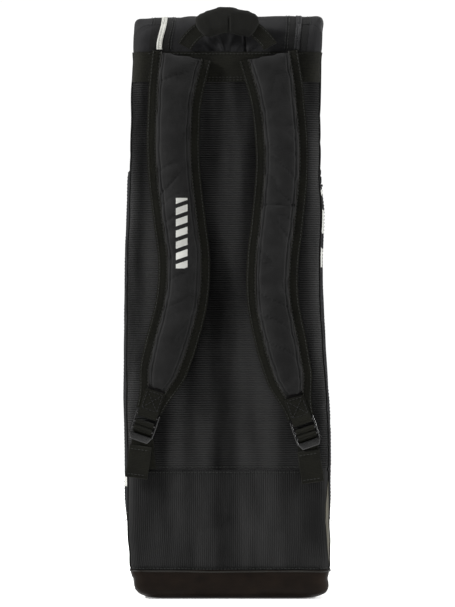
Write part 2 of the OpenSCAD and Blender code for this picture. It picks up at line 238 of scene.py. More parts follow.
def quads(n, m, wrap_n=False, wrap_m=False):
    """Faces of an n by m grid of points, as four indices each."""
    i, j = np.meshgrid(np.arange(n if wrap_n else n - 1), np.arange(m if wrap_m else m - 1),
                       indexing="ij")
    i, j = i.ravel(), j.ravel()
    i2, j2 = (i + 1) % n, (j + 1) % m
    return np.stack([i * m + j, i2 * m + j, i2 * m + j2, i * m + j2], 1)


# centres of the two top corners: distance from the middle plane on each side, and height
LEFT_CORNER_X, RIGHT_CORNER_X, CORNER_Z = 0.1032, 0.1052, 0.7405
CORNER_POWER = 5


def boxy_corners(p):
    """The two top corners are boxier than a quarter circle: a point moves out along its ray from
    the corner's centre by the ratio of a fifth-power superellipse to a circle."""
    x, y, z = p.T
    dx = np.maximum(np.abs(x) - np.where(x < 0, LEFT_CORNER_X, RIGHT_CORNER_X), 0)
    dz = np.maximum(z - CORNER_Z, 0)
    ray = np.hypot(dx, dz) + 1e-12
    stretch = ((dx / ray) ** CORNER_POWER + (dz / ray) ** CORNER_POWER + 1e-30) \
        ** (-1 / CORNER_POWER)
    stretch = np.where(dx * dz > 0, stretch - 1, 0) * ease((y + 0.150) / 0.03) \
        * ease((0.125 - y) / 0.03)
    return p + np.stack([np.sign(x) * dx * stretch, 0 * y, dz * stretch], -1)


def in_scene(name, data):
    """A new object of that data, linked to the scene."""
    made = bpy.data.objects.new(name, data)
    bpy.context.scene.collection.objects.link(made)
    return made


def unit(v):
    """Vectors scaled to a length of one."""
    return v / np.linalg.norm(v, axis=-1, keepdims=True)


def build(name, parts, material, body, nodes=(), weld=0.0, sharp=50.0):
    """One object from closed shells given as (points, faces, uv).  Each shell is turned so that
    its faces point outwards: its signed volume is the sum of its corner tetrahedra."""
    points, faces, maps, start = [], [], [], 0
    for p, f, uv in parts:
        p, f = boxy_corners(p.reshape(-1, 3)), np.asarray(f)
        uv = np.asarray(uv, float).reshape(-1, 2)
        a, b, c, d = (p[f[:, k]] - p.mean(0) for k in range(4))
        volume = np.einsum("ij,ij->i", a, np.cross(b, c)) \
            + np.einsum("ij,ij->i", a, np.cross(c, d))
        if volume.sum() < 0:
            f = f[:, ::-1]
        points.append(p)
        faces.append(f + start)
        maps.append(uv)
        start += len(p)
    points, faces, maps = np.concatenate(points), np.concatenate(faces), np.concatenate(maps)
    mesh = bpy.data.meshes.new(name)
    mesh.from_pydata(points.tolist(), [], faces.tolist())
    layer = mesh.uv_layers.new(name="UVMap")
    index = np.empty(len(mesh.loops), np.int64)
    mesh.loops.foreach_get("vertex_index", index)
    layer.data.foreach_set("uv", maps[index].astype(np.float32).ravel())
    if weld:
        work = bmesh.new()
        work.from_mesh(mesh)
        bmesh.ops.remove_doubles(work, verts=work.verts, dist=weld)
        work.to_mesh(mesh)
        work.free()
    mesh.shade_smooth()
    mesh.set_sharp_from_angle(angle=math.radians(sharp))
    mesh.materials.append(material)
    made = in_scene(name, mesh)
    if isinstance(body, str):
        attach(made, body)
    else:
        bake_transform(made)
    if nodes:
        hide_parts(*([nodes] if isinstance(nodes, str) else nodes))
    return made


def slab(outer, normal, thick, uv):
    """Closed sheet: a grid of outer points, the same grid moved in along the normals, and a rim."""
    n, m = outer.shape[:2]
    inner = outer - normal * np.reshape(thick, (1, 1, 1) if np.ndim(thick) == 0 else (n, m, 1))
    k = np.arange(n * m).reshape(n, m)
    ring = np.concatenate([k[0, :-1], k[:-1, -1], k[-1, :0:-1], k[:0:-1, 0]])
    nxt = np.roll(ring, -1)
    top = quads(n, m)
    rim = np.stack([ring, ring + n * m, nxt + n * m, nxt], 1)
    faces = np.concatenate([top, top[:, ::-1] + n * m, rim])
    return np.concatenate([outer.reshape(-1, 3), inner.reshape(-1, 3)]), faces, \
        np.concatenate([uv.reshape(-1, 2)] * 2)


def swept(path, across, out, ring_a, ring_b):
    """Closed bar: a ring of (a, b) offsets carried along a path, a along the across direction and
    b along the out direction; both ends are closed by shrinking the ring to its middle.
    ring_a and ring_b are (k,) or (n, k)."""
    n = len(path)
    a = np.broadcast_to(ring_a, (n, np.shape(ring_a)[-1]))
    b = np.broadcast_to(ring_b, (n, np.shape(ring_b)[-1]))
    shells = path[:, None] + across[:, None] * a[..., None] + out[:, None] * b[..., None]
    ends = [shells[:1].mean(1, keepdims=True) * 0.999 + shells[:1] * 0.001,
            shells[-1:].mean(1, keepdims=True) * 0.999 + shells[-1:] * 0.001]
    shells = np.concatenate([ends[0], shells, ends[1]])
    run = np.concatenate([[0], np.cumsum(np.linalg.norm(np.diff(path, axis=0), axis=1))])
    run = np.concatenate([run[:1], run, run[-1:]])
    k = shells.shape[1]
    girth = np.concatenate([[0], np.cumsum(np.hypot(np.diff(a[n // 2]), np.diff(b[n // 2])))])
    uv = np.stack(np.broadcast_arrays(girth[None], run[:, None]), -1)
    faces = quads(n + 2, k, wrap_m=True)
    return shells.reshape(-1, 3), faces, uv.reshape(-1, 2)


def oblong(width, thick, count=20, square=0.35):
    """Ring of a soft-cornered tape: a superellipse, cosine and sine raised to a small power."""
    t = np.arange(count) / count * 2 * PI
    c, s = np.cos(t), np.sin(t)
    return (width / 2 * np.sign(c) * np.abs(c) ** square,
            thick / 2 * np.sign(s) * np.abs(s) ** square)


def lump(centre, half, square=0.3, n=14, m=20, taper=0.0):
    """Rounded block: latitude and longitude cosines and sines raised to a small power.  taper
    narrows x towards -z."""
    lat = np.linspace(-PI / 2, PI / 2, n)[:, None]
    lon = (np.arange(m) / m * 2 * PI)[None]
    soft = lambda w: np.sign(w) * np.abs(w) ** square
    z = soft(np.sin(lat)) + 0 * lon
    x = soft(np.cos(lat)) * soft(np.cos(lon)) * (1 - taper * (1 - z) / 2)
    y = soft(np.cos(lat)) * soft(np.sin(lon))
    p = np.stack([x * half[0], y * half[1], z * half[2]], -1) + np.array(centre)
    uv = np.stack(np.broadcast_arrays(lon * half[0], lat * half[2]), -1)
    return p.reshape(-1, 3), quads(n, m, wrap_m=True), uv.reshape(-1, 2)


STITCH, STITCH_GAP, STITCH_LIFT = 0.0032, 0.0014, 0.0004


def stitches(path, out, width=0.0007):
    """Row of thread stitches along a path: each is a six-sided bar whose ends dive into the
    cloth, so its height is the cosine of its own length."""
    step = np.linalg.norm(np.diff(path, axis=0), axis=1)
    run = np.concatenate([[0], np.cumsum(step)])
    count = max(1, int(run[-1] / (STITCH + STITCH_GAP)))
    mid = (np.arange(count) + 0.5) * (STITCH + STITCH_GAP)
    s = mid[:, None] + np.linspace(-0.5, 0.5, 5)[None] * STITCH
    at = np.stack([np.interp(s, run, path[:, k]) for k in range(3)], -1)
    up = unit(np.stack([np.interp(s, run, out[:, k]) for k in range(3)], -1))
    wide = np.cross(unit(np.gradient(at, axis=1)), up)
    height = np.cos(np.linspace(-1, 1, 5) * PI / 2)[None, :, None, None]
    thin = np.array([0.35, 1, 1, 1, 0.35])[None, :, None, None]
    turn = np.arange(6) / 6 * 2 * PI
    c, w = np.cos(turn)[None, None, :, None], np.sin(turn)[None, None, :, None]
    p = at[:, :, None] + thin * width / 2 * (wide[:, :, None] * c + up[:, :, None] * w)
    p = p + up[:, :, None] * (height * STITCH_LIFT)
    one = quads(5, 6, wrap_m=True)
    caps = np.array([[0, 1, 2, 3], [0, 3, 4, 5], [24, 27, 26, 25], [24, 29, 28, 27]])
    one = np.concatenate([one, caps])
    faces = (one[None] + (np.arange(count) * 30)[:, None, None]).reshape(-1, 4)
    uv = np.zeros((count * 30, 2))
    uv[:, 0] = np.tile(np.repeat(np.arange(5), 6) * 0.001, count)
    return p.reshape(-1, 3), faces, uv


def noise(p, size, seed):
    """Smooth noise from -1 to 1: random values on a lattice of that size, eased between."""
    lattice = np.random.default_rng(seed).uniform(-1, 1, (64, 64, 64))
    q = p / np.asarray(size) + 1000.37
    i = np.floor(q).astype(int)
    f = q - i
    f = f * f * (3 - 2 * f)
    total = 0.0
    for cx in (0, 1):
        for cy in (0, 1):
            for cz in (0, 1):
                w = np.abs(1 - cx - f[..., 0]) * np.abs(1 - cy - f[..., 1]) \
                    * np.abs(1 - cz - f[..., 2])
                total = total + w * lattice[(i[..., 0] + cx) % 64, (i[..., 1] + cy) % 64,
                                            (i[..., 2] + cz) % 64]
    return total


def ease(t):
    """0 to 1 with level ends."""
    t = np.clip(t, 0, 1)
    return t * t * (3 - 2 * t)


# ---------------------------------------------------------------- the loft of the body

# depth of the strap side and far side, and heights of the top seam and the far top corner's centre
BACK, FRONT, SEAM, FRONT_TOP = -0.165, 0.165, 0.711, 0.690
# radii of the outline: strap-side top, far top, far foot and strap-side foot
SEAM_R, FAR_R, TOE_R, HEEL_R = 0.049, 0.070, 0.030, 0.038
SEAM_Y, FAR_Y = -0.116, 0.095
HINGE_Y, GAP = -0.149, 0.0004
COVER_Y = -0.1486
LIP_DEPTH = 0.049


def arc(cy, cz, r, start, stop, count):
    """Quarter circle about a centre as rows of y, z and angle in degrees."""
    return [(cy + r * math.cos(math.radians(a)), cz + r * math.sin(math.radians(a)), a)
            for a in np.linspace(start, stop, count)]


def outline_table():
    """Outline of the bag in the YZ plane as length, y, z and outward angle: straight runs joined
    by quarter circles of 49, 70, 30 and 38 mm."""
    runs = [
        [(BACK, HEEL_R, 180), (BACK, SEAM, 180)],
        arc(SEAM_Y, SEAM, SEAM_R, 180, 90, 46),
        arc(FAR_Y, FRONT_TOP, FAR_R, 90, 0, 46),
        arc(0.135, TOE_R, TOE_R, 0, -90, 24),
        arc(-0.127, HEEL_R, HEEL_R, -90, -180, 24),
    ]
    rows = np.array([r for run in runs for r in run])
    keep = np.concatenate([[True], np.hypot(*np.diff(rows[:, :2], axis=0).T) > 1e-9])
    rows = rows[keep]
    length = np.concatenate([[0], np.cumsum(np.hypot(*np.diff(rows[:, :2], axis=0).T))])
    return length, rows[:, 0], rows[:, 1], np.radians(rows[:, 2])


LEN, OUT_Y, OUT_Z, OUT_A = outline_table()
T_SEAM = SEAM - HEEL_R
T_FRONT_TOP = T_SEAM + SEAM_R * PI / 2 + 0.211 + FAR_R * PI / 2
T_HINGE = T_SEAM + SEAM_R * math.acos(1 - 0.016 / SEAM_R)
# radius of the edge along the outline: outline lengths, and the radius at each
ROUND_AT = np.array([0.0, T_SEAM, T_SEAM + 0.077, T_SEAM + 0.27, T_FRONT_TOP, 3.0])
ROUND = np.array([0.016, 0.016, 0.018, 0.018, 0.040, 0.040])


def back_at(z):
    """Outline length at a height on the strap side."""
    return z - HEEL_R


def front_at(z):
    """Outline length at a height on the far side."""
    return T_FRONT_TOP + FRONT_TOP - z


def half_width(z):
    """Half width of the flat side wall, tapering from 130 mm low down to 119 mm at the seam."""
    return 0.130 - (z - 0.040) * 11 / 671


def radius(t):
    """Radius of the edge between the outline and the side wall."""
    return np.interp(t, ROUND_AT, ROUND)


def edge_of(t, x):
    """Distance along the cross line from where it starts to turn, for a distance x from the
    middle plane: plain difference on the flat, arc length on the turn."""
    r = radius(t)
    flat = half_width(np.interp(t, LEN, OUT_Z)) - r
    turn = np.arcsin(np.clip((x - flat) / r, -1, 1)) * r
    return np.where(x < flat, x - flat, turn)


def loft(t, side, e):
    """Point and outward normal of the body at outline length t and cross distance e."""
    t, e = np.broadcast_arrays(np.asarray(t, float), np.asarray(e, float))
    y0, z0, a = np.interp(t, LEN, OUT_Y), np.interp(t, LEN, OUT_Z), np.interp(t, LEN, OUT_A)
    r = radius(t)
    k = np.clip(e / r, 0, PI / 2)
    inward = r * (1 - np.cos(k)) + np.maximum(e - r * PI / 2, 0)
    y, z = y0 - inward * np.cos(a), z0 - inward * np.sin(a)
    x = half_width(z) - r + np.minimum(e, 0) + r * np.sin(k)
    p = np.stack([side * x, y, z], -1)
    n = np.stack([side * np.sin(k), np.cos(k) * np.cos(a), np.cos(k) * np.sin(a)], -1)
    return p, n


# how far the left and right edges of the empty bag move along X from the straight taper, by
# height: a left edge stands out where its value is negative, a right edge where it is positive
EDGE_Z = np.array([0, 7, 26, 52, 78, 130, 195, 260, 325, 390, 440, 520, 585, 650, 700, 725, 750,
                   765]) / 1000
EDGE_LEFT = np.array([-2, -2, 5.5, 2.5, 0, -1.5, -2.5, -5, -5, -4, -3.5, -1.5, -2.5, -2.5, -1.5,
                      -3.5, -4.5, -4.5]) / 1000
EDGE_RIGHT = np.array([12, 14, 3.5, 2.5, 4, 3.5, 3.5, 3, 0.5, 0, 0, 1.5, 1.5, 1.5, 1.5, 3.5, 6.5,
                       6.5]) / 1000


def edge_spread(x, z):
    """Shift along X of a point of the shell, full at the edges and none in the middle."""
    return np.interp(z, EDGE_Z, EDGE_LEFT) * ease(-x / 0.11) \
        + np.interp(z, EDGE_Z, EDGE_RIGHT) * ease(x / 0.11)


PROUD_LIMIT = 0.0004


def capped(height):
    """Outward heights that level off at 0.4 mm: the limit times the hyperbolic tangent."""
    return PROUD_LIMIT * np.tanh(height / PROUD_LIMIT)


def settle(p, n):
    """How the empty bag stands: the strap side leans to the left at mid height, both edges swell
    unevenly, the back has long upright folds, the cloth puckers along the zips, and slack
    shows as slow hollows crossed by slanted creases."""
    x, y, z = p[..., 0], p[..., 1], p[..., 2]
    near = ease(-y / 0.165)
    lean = -0.0040 * np.exp(-((z - 0.52) / 0.16) ** 2) * near
    tilt = 0.0075 * ease((z - 0.715) / 0.040) * np.exp(-((x + 0.085) / 0.030) ** 2) \
        * ease((-y - 0.07) / 0.05) + 0.0035 * np.exp(-((x - 0.085) / 0.030) ** 2) \
        * ease((z - 0.706) / 0.01) * ease((-y - 0.07) / 0.05)
    side = np.abs(n[..., 0])
    swell = 0.0016 * np.sin(PI * np.clip((y + 0.149) / 0.30, 0, 1)) \
        * np.sin(PI * np.clip((z - 0.04) / 0.70, 0, 1)) * side
    free = ease((z - 0.02) / 0.05)
    folds = 0.0031 * noise(p, (0.032, 0.2, 0.26), 3) + 0.0012 * noise(p, (0.016, 0.05, 0.09), 4)
    slant = np.stack([x, y + 0.6 * z, z - 0.5 * y], -1)
    creases = 0.0011 * (1 - np.abs(noise(slant, (0.06, 0.022, 0.10), 8))) ** 5
    dents = 0.0022 * noise(p, 0.11, 5) + 0.0007 * noise(p, 0.04, 7) - creases
    quiet = 1 - 0.85 * np.exp(-((np.abs(x) - 0.085) / 0.016) ** 2) * ease((y + 0.13) / 0.05)
    gather = 0.0008 * noise(p, (0.4, 0.013, 0.013), 9) \
        * np.exp(-((np.abs(x) - 0.104) / 0.007) ** 2) * ease((y + 0.13) / 0.05)
    calm = 1 - np.exp(-((z - 0.548) / 0.024) ** 2) * ease(n[..., 0]) * (x > 0.1)
    pucker = 0.0013 * noise(p, (0.021, 0.5, 0.5), 6) * ease((z - 0.735) / 0.02) * quiet
    valley = -0.0016 * (np.exp(-((z - 0.169) / 0.0022) ** 2) * ease((-y - 0.13) / 0.02)
                        + np.exp(-((z - 0.040) / 0.0022) ** 2))
    push = ((folds * ease((-y - 0.10) / 0.05) + dents) * free * quiet + swell + gather) * calm
    # beside the straps the cloth only sinks in, so webbing and buckles stay clear of it
    over = np.maximum(push, 0) * ease(-n[..., 1] / 0.7) * ease((-y - 0.12) / 0.02)
    push = push - over + capped(over) + valley
    moved = p + n * push[..., None]
    moved[..., 0] += lean + edge_spread(x, z) + tilt
    moved[..., 2] += pucker
    return moved


def strip(lo, hi, count):
    """Rows of cross distances from lo to hi, where both may change along t."""
    k = np.linspace(0, 1, count)[None]
    return np.reshape(lo, (-1, 1)) * (1 - k) + np.reshape(hi, (-1, 1)) * k


def span_across(t, x_max, count):
    """Cross distances and sides for a panel that crosses the middle plane."""
    x = np.linspace(-x_max, x_max, count)[None]
    side = np.where(x < 0, -1.0, 1.0) + 0 * t
    return side, edge_of(t, np.abs(x) + 0 * t)


# Aluminised film bonded to foam: bright, crinkled, metallic.
FOIL = moulded("aluminised_liner_film", "#a9acb1", "#d2d4d8", rough=0.32, specular=0.5, grain=260.0,
               lift=0.0006, metallic=0.75)
# Screen-printed polyester: slanted pale ink bars over the shell weave, a plain tab low down.
PRINTED = cloth("screen_printed_polyester", "#0e0e10", "#212224", thread=0.0013, sheen=0.02,
                bars=(-0.150, 0.075, 0.432, 0.5335, 0.050, 0.55))
PRINTED_LOW = cloth("low_printed_polyester", "#0e0e10", "#212224", thread=0.0013,
                    bars=(-0.150, -0.122, 0.146, 0.160, 1.0, 0.0))
# Nylon monofilament coil, wound: smooth with a soft gloss.
WHITE_COIL = moulded("white_nylon_coil", "#8e8e89", "#b2b2ac", rough=0.42, grain=700.0)
BLACK_COIL = moulded("black_nylon_coil", "#0a0a0b", "#141416", rough=0.4, specular=0.25, grain=700.0)
# Acetal ladder-lock, injection moulded: satin black.
ACETAL = moulded("moulded_acetal", "#050505", "#101010", rough=0.20, specular=0.42, grain=1300.0)
# Zinc slider, die cast and black lacquered.
ZINC = moulded("lacquered_zinc", "#0d0d0e", "#242529", rough=0.3, specular=0.5, coat=0.5,
               grain=600.0)
# Puller, over-moulded soft PVC: matt with a fine grain.
PULLER = moulded("moulded_soft_pvc", "#191a1c", "#2e3034", rough=0.62, grain=1500.0, lift=0.00006)
# Extruded PVC piping under cloth, slightly paler than its neighbours.
PIPING = moulded("extruded_piping", "#0f0e0d", "#23221f", rough=0.5, specular=0.12, grain=500.0,
                 lift=0.00006)
# Pressed fibre board: dull grey with a coarse grain.
BOARD = moulded("grey_fibre_board", "#3d3d3b", "#565552", rough=0.8, specular=0.2, grain=180.0,
                lift=0.0002)
# Closed-cell polyethylene foam, cut: pale grey and matt, with open cells on the cut face.
FOAM = moulded("cut_polyethylene_foam", "#54585c", "#73777b", rough=0.9, specular=0.15,
               grain=330.0, lift=0.0005)
# Bonded polyester thread, twisted, a shade lighter than the cloth it holds.
THREAD = moulded("bonded_thread", "#141514", "#2b2c2a", rough=0.6, specular=0.15, grain=2200.0)


def flat_half(t):
    """Half width of the flat part of the cross line."""
    return half_width(np.interp(t, LEN, OUT_Z)) - radius(t)


def hinge_edge(t, y):
    """Cross distance at which the loft reaches a depth y on the strap side or the top curve."""
    a = np.interp(t, LEN, OUT_A)
    inward = np.where(t <= T_SEAM, y - BACK,
                      SEAM_R - (SEAM_Y - y) / np.maximum(-np.cos(a), 1e-6))
    r = radius(t)
    return r * np.arccos(np.clip(1 - np.clip(inward, 0, r) / r, -1, 1))


def panel(name, t, side, e, thick, material, body, nodes, proud=0.0, weld=0.0):
    """A patch of the loft, its UV in metres: true distance across and along."""
    p, n = loft(t, side, e)
    p = settle(p, n)
    p = p + n * (proud[..., None] if np.ndim(proud) == 2 else proud)
    uv = np.stack(np.broadcast_arrays(side * (e + flat_half(t)), t), -1)
    return build(name, [slab(p, n, thick, uv)], material, body, nodes, weld, sharp=60.0)


def on_loft(t, side, e, proud=0.0):
    """Path on the settled surface and its outward normals."""
    p, n = loft(t, side, e)
    return settle(p, n) + n * proud, n


def column(a, b, n):
    """Evenly spaced outline lengths as a column."""
    return np.linspace(a, b, n)[:, None]


T_COVER = T_HINGE + GAP
# rows crowd towards the hinge corner, where the cover's edge falls as a square root
HINGE_STEPS = 1 - (1 - np.linspace(0, 1, 34)) ** 2
SIDES = {"left": -1.0, "right": 1.0}


# ---------------------------------------------------------------- fixed core of the shell

def wrap_columns(t, flat_n=71, turn_n=7):
    """Cross distances over the whole strap side: flat middle and both turned edges."""
    x = np.linspace(-1, 1, flat_n)[None] * flat_half(t)
    turn = radius(t) * PI / 2 * (np.arange(1, turn_n + 1) / turn_n)[None]
    side = np.concatenate([-np.ones(turn_n), np.where(x[0] < 0, -1, 1), np.ones(turn_n)])[None]
    return side + 0 * t, np.concatenate([turn[:, ::-1], np.abs(x) - flat_half(t), turn], 1)


t = column(back_at(0.169), T_SEAM, 190)
side, e = wrap_columns(t)
panel("ribbed_mesh_back", t, side, e, 0.004, RIBBED_MESH, "core", "back_panel")
t = column(back_at(0.039), back_at(0.169), 60)
side, e = wrap_columns(t)
# the lower panel wrinkles where it is sewn above and below
wrinkle = 0.0012 * noise(np.stack([side * (e + flat_half(t)), 0 * e, t + 0 * e], -1),
                         (0.013, 1.0, 0.050), 11) + 0.0006
wrinkle = wrinkle + 0.0018 * noise(np.stack([side * (e + flat_half(t)) + 0.7 * t, 0 * e,
                                             t + 0 * e], -1), (0.028, 1.0, 0.014), 12)
wrinkle = np.where(wrinkle > 0, capped(wrinkle), wrinkle)
panel("ribbed_lower_back", t, side, e, 0.004, RIBBED_DOBBY, "core", "lower_back_panel",
      proud=wrinkle * np.sin(PI * (t - t[0]) / (t[-1] - t[0])))

t = column(back_at(0.672), T_SEAM, 24)
side, e = wrap_columns(t)
panel("seam_band_webbing", t, side, e, 0.0012, WEBBING, "core", "seam_band",
      proud=0.0012)

t = column(T_SEAM, T_FRONT_TOP, 150)
side, e = span_across(t, 0.072, 145)
p, n = loft(t, side, e)
# cloth bunched behind the handle: fans of folds from its middle, and one deep upright crease
rise, over = p[..., 2] - 0.709, p[..., 0] - 0.004
zone = np.exp(-(np.abs(over) / 0.044) ** 4) * ease(rise / 0.004) * ease((0.042 - rise) / 0.016) \
    * (p[..., 1] < 0)
fan = np.stack([over / (0.5 + rise / 0.03), 0 * rise, rise], -1)
bunch = zone * (0.0034 * noise(fan, (0.0065, 1, 0.012), 91)
                + 0.0012 * noise(fan, (0.003, 1, 0.02), 92) - 0.0006
                - 0.0042 * np.exp(-((over - 0.021 + 0.12 * rise) / 0.0016) ** 2))
panel("top_panel_cloth", t, side, e, 0.004, SHELL_CLOTH, "core", "top_panel",
      proud=bunch)


def stepped(t0, cut, t1, n0, n1, lo0, hi0, lo1, hi1, cols):
    """Patch whose width steps at one outline length; widths are distances from the middle."""
    t = np.concatenate([np.linspace(t0, cut, n0), np.linspace(cut, t1, n1)])[:, None]
    lo = np.concatenate([np.full(n0, lo0), np.full(n1, lo1)])[:, None]
    hi = np.concatenate([np.full(n0, hi0), np.full(n1, hi1)])[:, None]
    return t, strip(edge_of(t, lo)[:, 0], edge_of(t, hi)[:, 0], cols)


cut = front_at(0.100)
t = np.concatenate([np.linspace(T_FRONT_TOP, cut, 110), np.linspace(cut, front_at(0.039), 14)])
t = t[:, None]
x = np.linspace(-1, 1, 73)[None] * np.where(np.arange(len(t)) < 110, 0.072, 0.0848)[:, None]
panel("front_strip_cloth", t, np.where(x < 0, -1.0, 1.0), edge_of(t, np.abs(x)), 0.004,
      SHELL_CLOTH, "core", "front_strip")

for name, sign in SIDES.items():
    t = T_SEAM + (T_HINGE - T_SEAM) * HINGE_STEPS[:, None]
    e = strip(edge_of(t, 0.098)[:, 0], hinge_edge(t, HINGE_Y)[:, 0], 12)
    panel(f"{name}_gusset_cloth", t, sign + 0 * e, e, 0.004, SHELL_CLOTH, "core",
          f"{name}_corner_gusset")
    t, e = stepped(T_SEAM, T_HINGE, front_at(0.100), 16, 260, 0.072, 0.098, 0.072, 0.0848, 8)
    panel(f"{name}_inner_zip_tape", t, sign + 0 * e, e, 0.0016, TAPE_CLOTH, "core",
          f"{name}_inner_tape", proud=0.0003)


COIL_PITCH = 0.0023


def coil(name, t0, t1, x0, x1, sign, material, body, nodes):
    """Zip coil: a low strip whose height follows the absolute sine of its length, one ridge for
    each 2.3 mm turn, falling to the tape at both long edges."""
    rows = int((t1 - t0) / COIL_PITCH * 5)
    t = column(t0, t1, rows)
    e = strip(edge_of(t, x0 + 0 * t)[:, 0], edge_of(t, x1 + 0 * t)[:, 0], 9)
    lean = np.linspace(0, 0.0011, 9)[None]
    ridge = np.abs(np.sin(PI * (t + lean) / COIL_PITCH)) ** 0.6
    across = np.linspace(0.12, 0.88, 9)[None]
    arch = np.sin(PI * across) ** 0.5 * (1 - 0.5 * np.exp(-((across - 0.5) / 0.09) ** 2))
    panel(name, t, sign + 0 * e, e, 0.0009, material, body, nodes,
          proud=(0.0006 + 0.0009 * ridge) * arch + 0.0002)


def coil_tint(name):
    """The left zip is white, the right one black."""
    return (WHITE_COIL, "white_coil") if name == "left" else (BLACK_COIL, "black_coil")


for name, sign in SIDES.items():
    tint, tint_slot = coil_tint(name)
    coil(f"{name}_fixed_coil", T_HINGE, front_at(0.1), 0.0816, 0.0848, sign, tint, "core",
         f"{name}_inner_coil")
    coil(f"{name}_end_coil", T_SEAM + 0.0028, T_HINGE, 0.0816, 0.0884, sign, tint, "core", ())
    rows = []
    for x0 in (0.0735, 0.0705):
        t = np.linspace(T_SEAM + 0.003, cut, 900)
        p, n = on_loft(t, sign, edge_of(t, x0 + 0 * t), 0.0004)
        rows.append(stitches(p, n))
    build(f"{name}_inner_tape_stitching", rows, THREAD, "core", ())


def base_ring(z, grow):
    """Ring of the base at a height: a rounded rectangle, wide and deep as quarter ellipses of
    the height, with 16 mm corners beside the straps and 40 mm corners at the far side."""
    curve = math.sqrt(max(0.0, 1 - ((0.040 - z) / (0.040 + grow)) ** 2))
    hx = 0.094 + (0.036 + grow) * curve
    pull = (0.025 + grow) * (1 - curve)
    y0, y1 = BACK - grow + pull, FRONT + grow - pull
    rb, rf = 0.016 + grow, 0.040 + grow
    q = np.radians(np.linspace(0, 90, 14))

    def corner(cx, cy, r, start):
        """Quarter circle of the ring from a start angle in degrees."""
        a = q + math.radians(start)
        return np.stack([cx + r * np.cos(a), cy + r * np.sin(a)], -1)

    turns = [corner(hx - rf, y1 - rf, rf, 0), corner(-hx + rf, y1 - rf, rf, 90),
             corner(-hx + rb, y0 + rb, rb, 180), corner(hx - rb, y0 + rb, rb, 270)]
    counts = [27, 30, 27, 30]
    out = []
    for k, c in enumerate(turns):
        nxt = turns[(k + 1) % 4][0]
        w = np.linspace(0, 1, counts[k])[1:-1, None]
        out += [c, c[-1] * (1 - w) + nxt * w]
    ring = np.concatenate(out)
    return np.concatenate([ring, np.full((len(ring), 1), z)], 1)


def tray(levels, grows, fade):
    """Rings at those heights and sizes, as a grid; fade shrinks a ring towards the middle."""
    rings = np.stack([base_ring(z, g) for z, g in zip(levels, grows)])
    rings[..., :2] *= np.reshape(fade, (-1, 1, 1))
    return rings


# The base: rings down the outside, across underneath, back across inside and up to the rim.
deep = 0.040 - 0.040 * np.sin(np.linspace(math.asin(0.001 / 0.04), PI / 2, 22))
under = np.linspace(1, 0.001, 12)[1:]
z_all = np.concatenate([deep, np.zeros(11), np.full(11, 0.004), 0.004 + 0.035 * (1 - np.cos(
    np.linspace(0, PI / 2, 16)))])
g_all = np.concatenate([np.zeros(33), np.full(27, -0.004)])
f_all = np.concatenate([np.ones(22), under, under[::-1], np.ones(16)])
rings = tray(z_all, g_all, f_all)
away = rings * np.array([1, 1, 0])
away /= np.maximum(np.linalg.norm(away, axis=-1, keepdims=True), 1e-9)
rim_ease = np.clip(ease(rings[..., 2] / 0.012), 0, 1) * (np.arange(len(rings)) < 22)[:, None]
slack = np.stack([rings[..., 0] + rings[..., 2], rings[..., 1], rings[..., 2] - rings[..., 0]], -1)
crumple = 0.0016 * noise(rings, (0.05, 0.05, 0.03), 21) + 0.0008 * noise(rings, 0.016, 22) \
    + 0.0013 * (1 - np.abs(noise(slack, (0.05, 0.05, 0.013), 24))) ** 6
rings = rings + away * (crumple * rim_ease)[..., None]
rings[..., 0] += edge_spread(rings[..., 0], rings[..., 2])
girth = np.linspace(0, 0.98, rings.shape[1])[None] + 0 * rings[..., 0]
down = np.linspace(0, 0.5, len(rings))[:, None] + 0 * rings[..., 0]
build("coated_base_tray", [(rings.reshape(-1, 3), quads(len(rings), rings.shape[1], wrap_m=True),
                            np.stack([girth, down], -1))], BASE_COATING, "core", "base_cap")

ring = base_ring(0.0372, 0.0012)
out = unit(ring * np.array([1, 1, 0]))
ring = np.concatenate([ring, ring[:1]])
out = np.concatenate([out, out[:1]])
wavy = settle(ring, out)
wavy[:, 2] += 0.0006 * noise(ring, 0.05, 23)
a, b = oblong(0.0022, 0.0026, 12, 1.0)
build("base_piping_cord", [swept(wavy, np.tile([0.0, 0, 1], (len(ring), 1)), out, a, b)], PIPING,
      "core", "base_piping")
build("base_seam_stitching", [stitches(wavy + out * 0.0002 + np.array([0, 0, 0.0035]), out)],
      THREAD, "core", ())

plate = tray([0.0042, 0.0042, 0.0050, 0.0062, 0.0070, 0.0070],
             [-0.0075, -0.0052, -0.0045, -0.0045, -0.0052, -0.0075],
             [0.001, 1, 1, 1, 1, 0.001])
build("base_board_plate", [(plate.reshape(-1, 3), quads(6, plate.shape[1], wrap_m=True),
                            plate[..., :2])], BOARD, "core", "base_board")
pad = build("back_foam_pad", [lump((0, -0.158, 0.375), (0.097, 0.0029, 0.329), 0.16, 40, 60)],
            FOAM, "core", "back_pad")

# Divider: a wall of lining cloth sewn in all round between the two compartments, slightly wavy.
y, z = np.meshgrid(np.linspace(-0.1540, 0.1590, 60), np.linspace(0.0080, 0.7545, 120),
                   indexing="ij")
far_top = FRONT_TOP + np.sqrt(np.maximum(0.066 ** 2 - (y - FAR_Y) ** 2, 0))
top_in = np.where(y < SEAM_Y, SEAM + np.sqrt(np.maximum(0.045 ** 2 - (y - SEAM_Y) ** 2, 0)),
                  np.where(y > FAR_Y, far_top, 0.756)) - 0.0012
z = 0.0080 + (z - 0.0080) / 0.7465 * (top_in - 0.0080)
p = np.stack([0.0015 + 0 * y, y, z], -1)
p[..., 0] += 0.0012 * noise(p, (1, 0.05, 0.3), 31) * ease((y + 0.154) / 0.03) \
    * ease((0.159 - y) / 0.03)
n = np.zeros_like(p)
n[..., 0] = 1
build("divider_cloth", [slab(p, n, 0.003, p[..., 1:])], LINING, "core", "divider_panel")

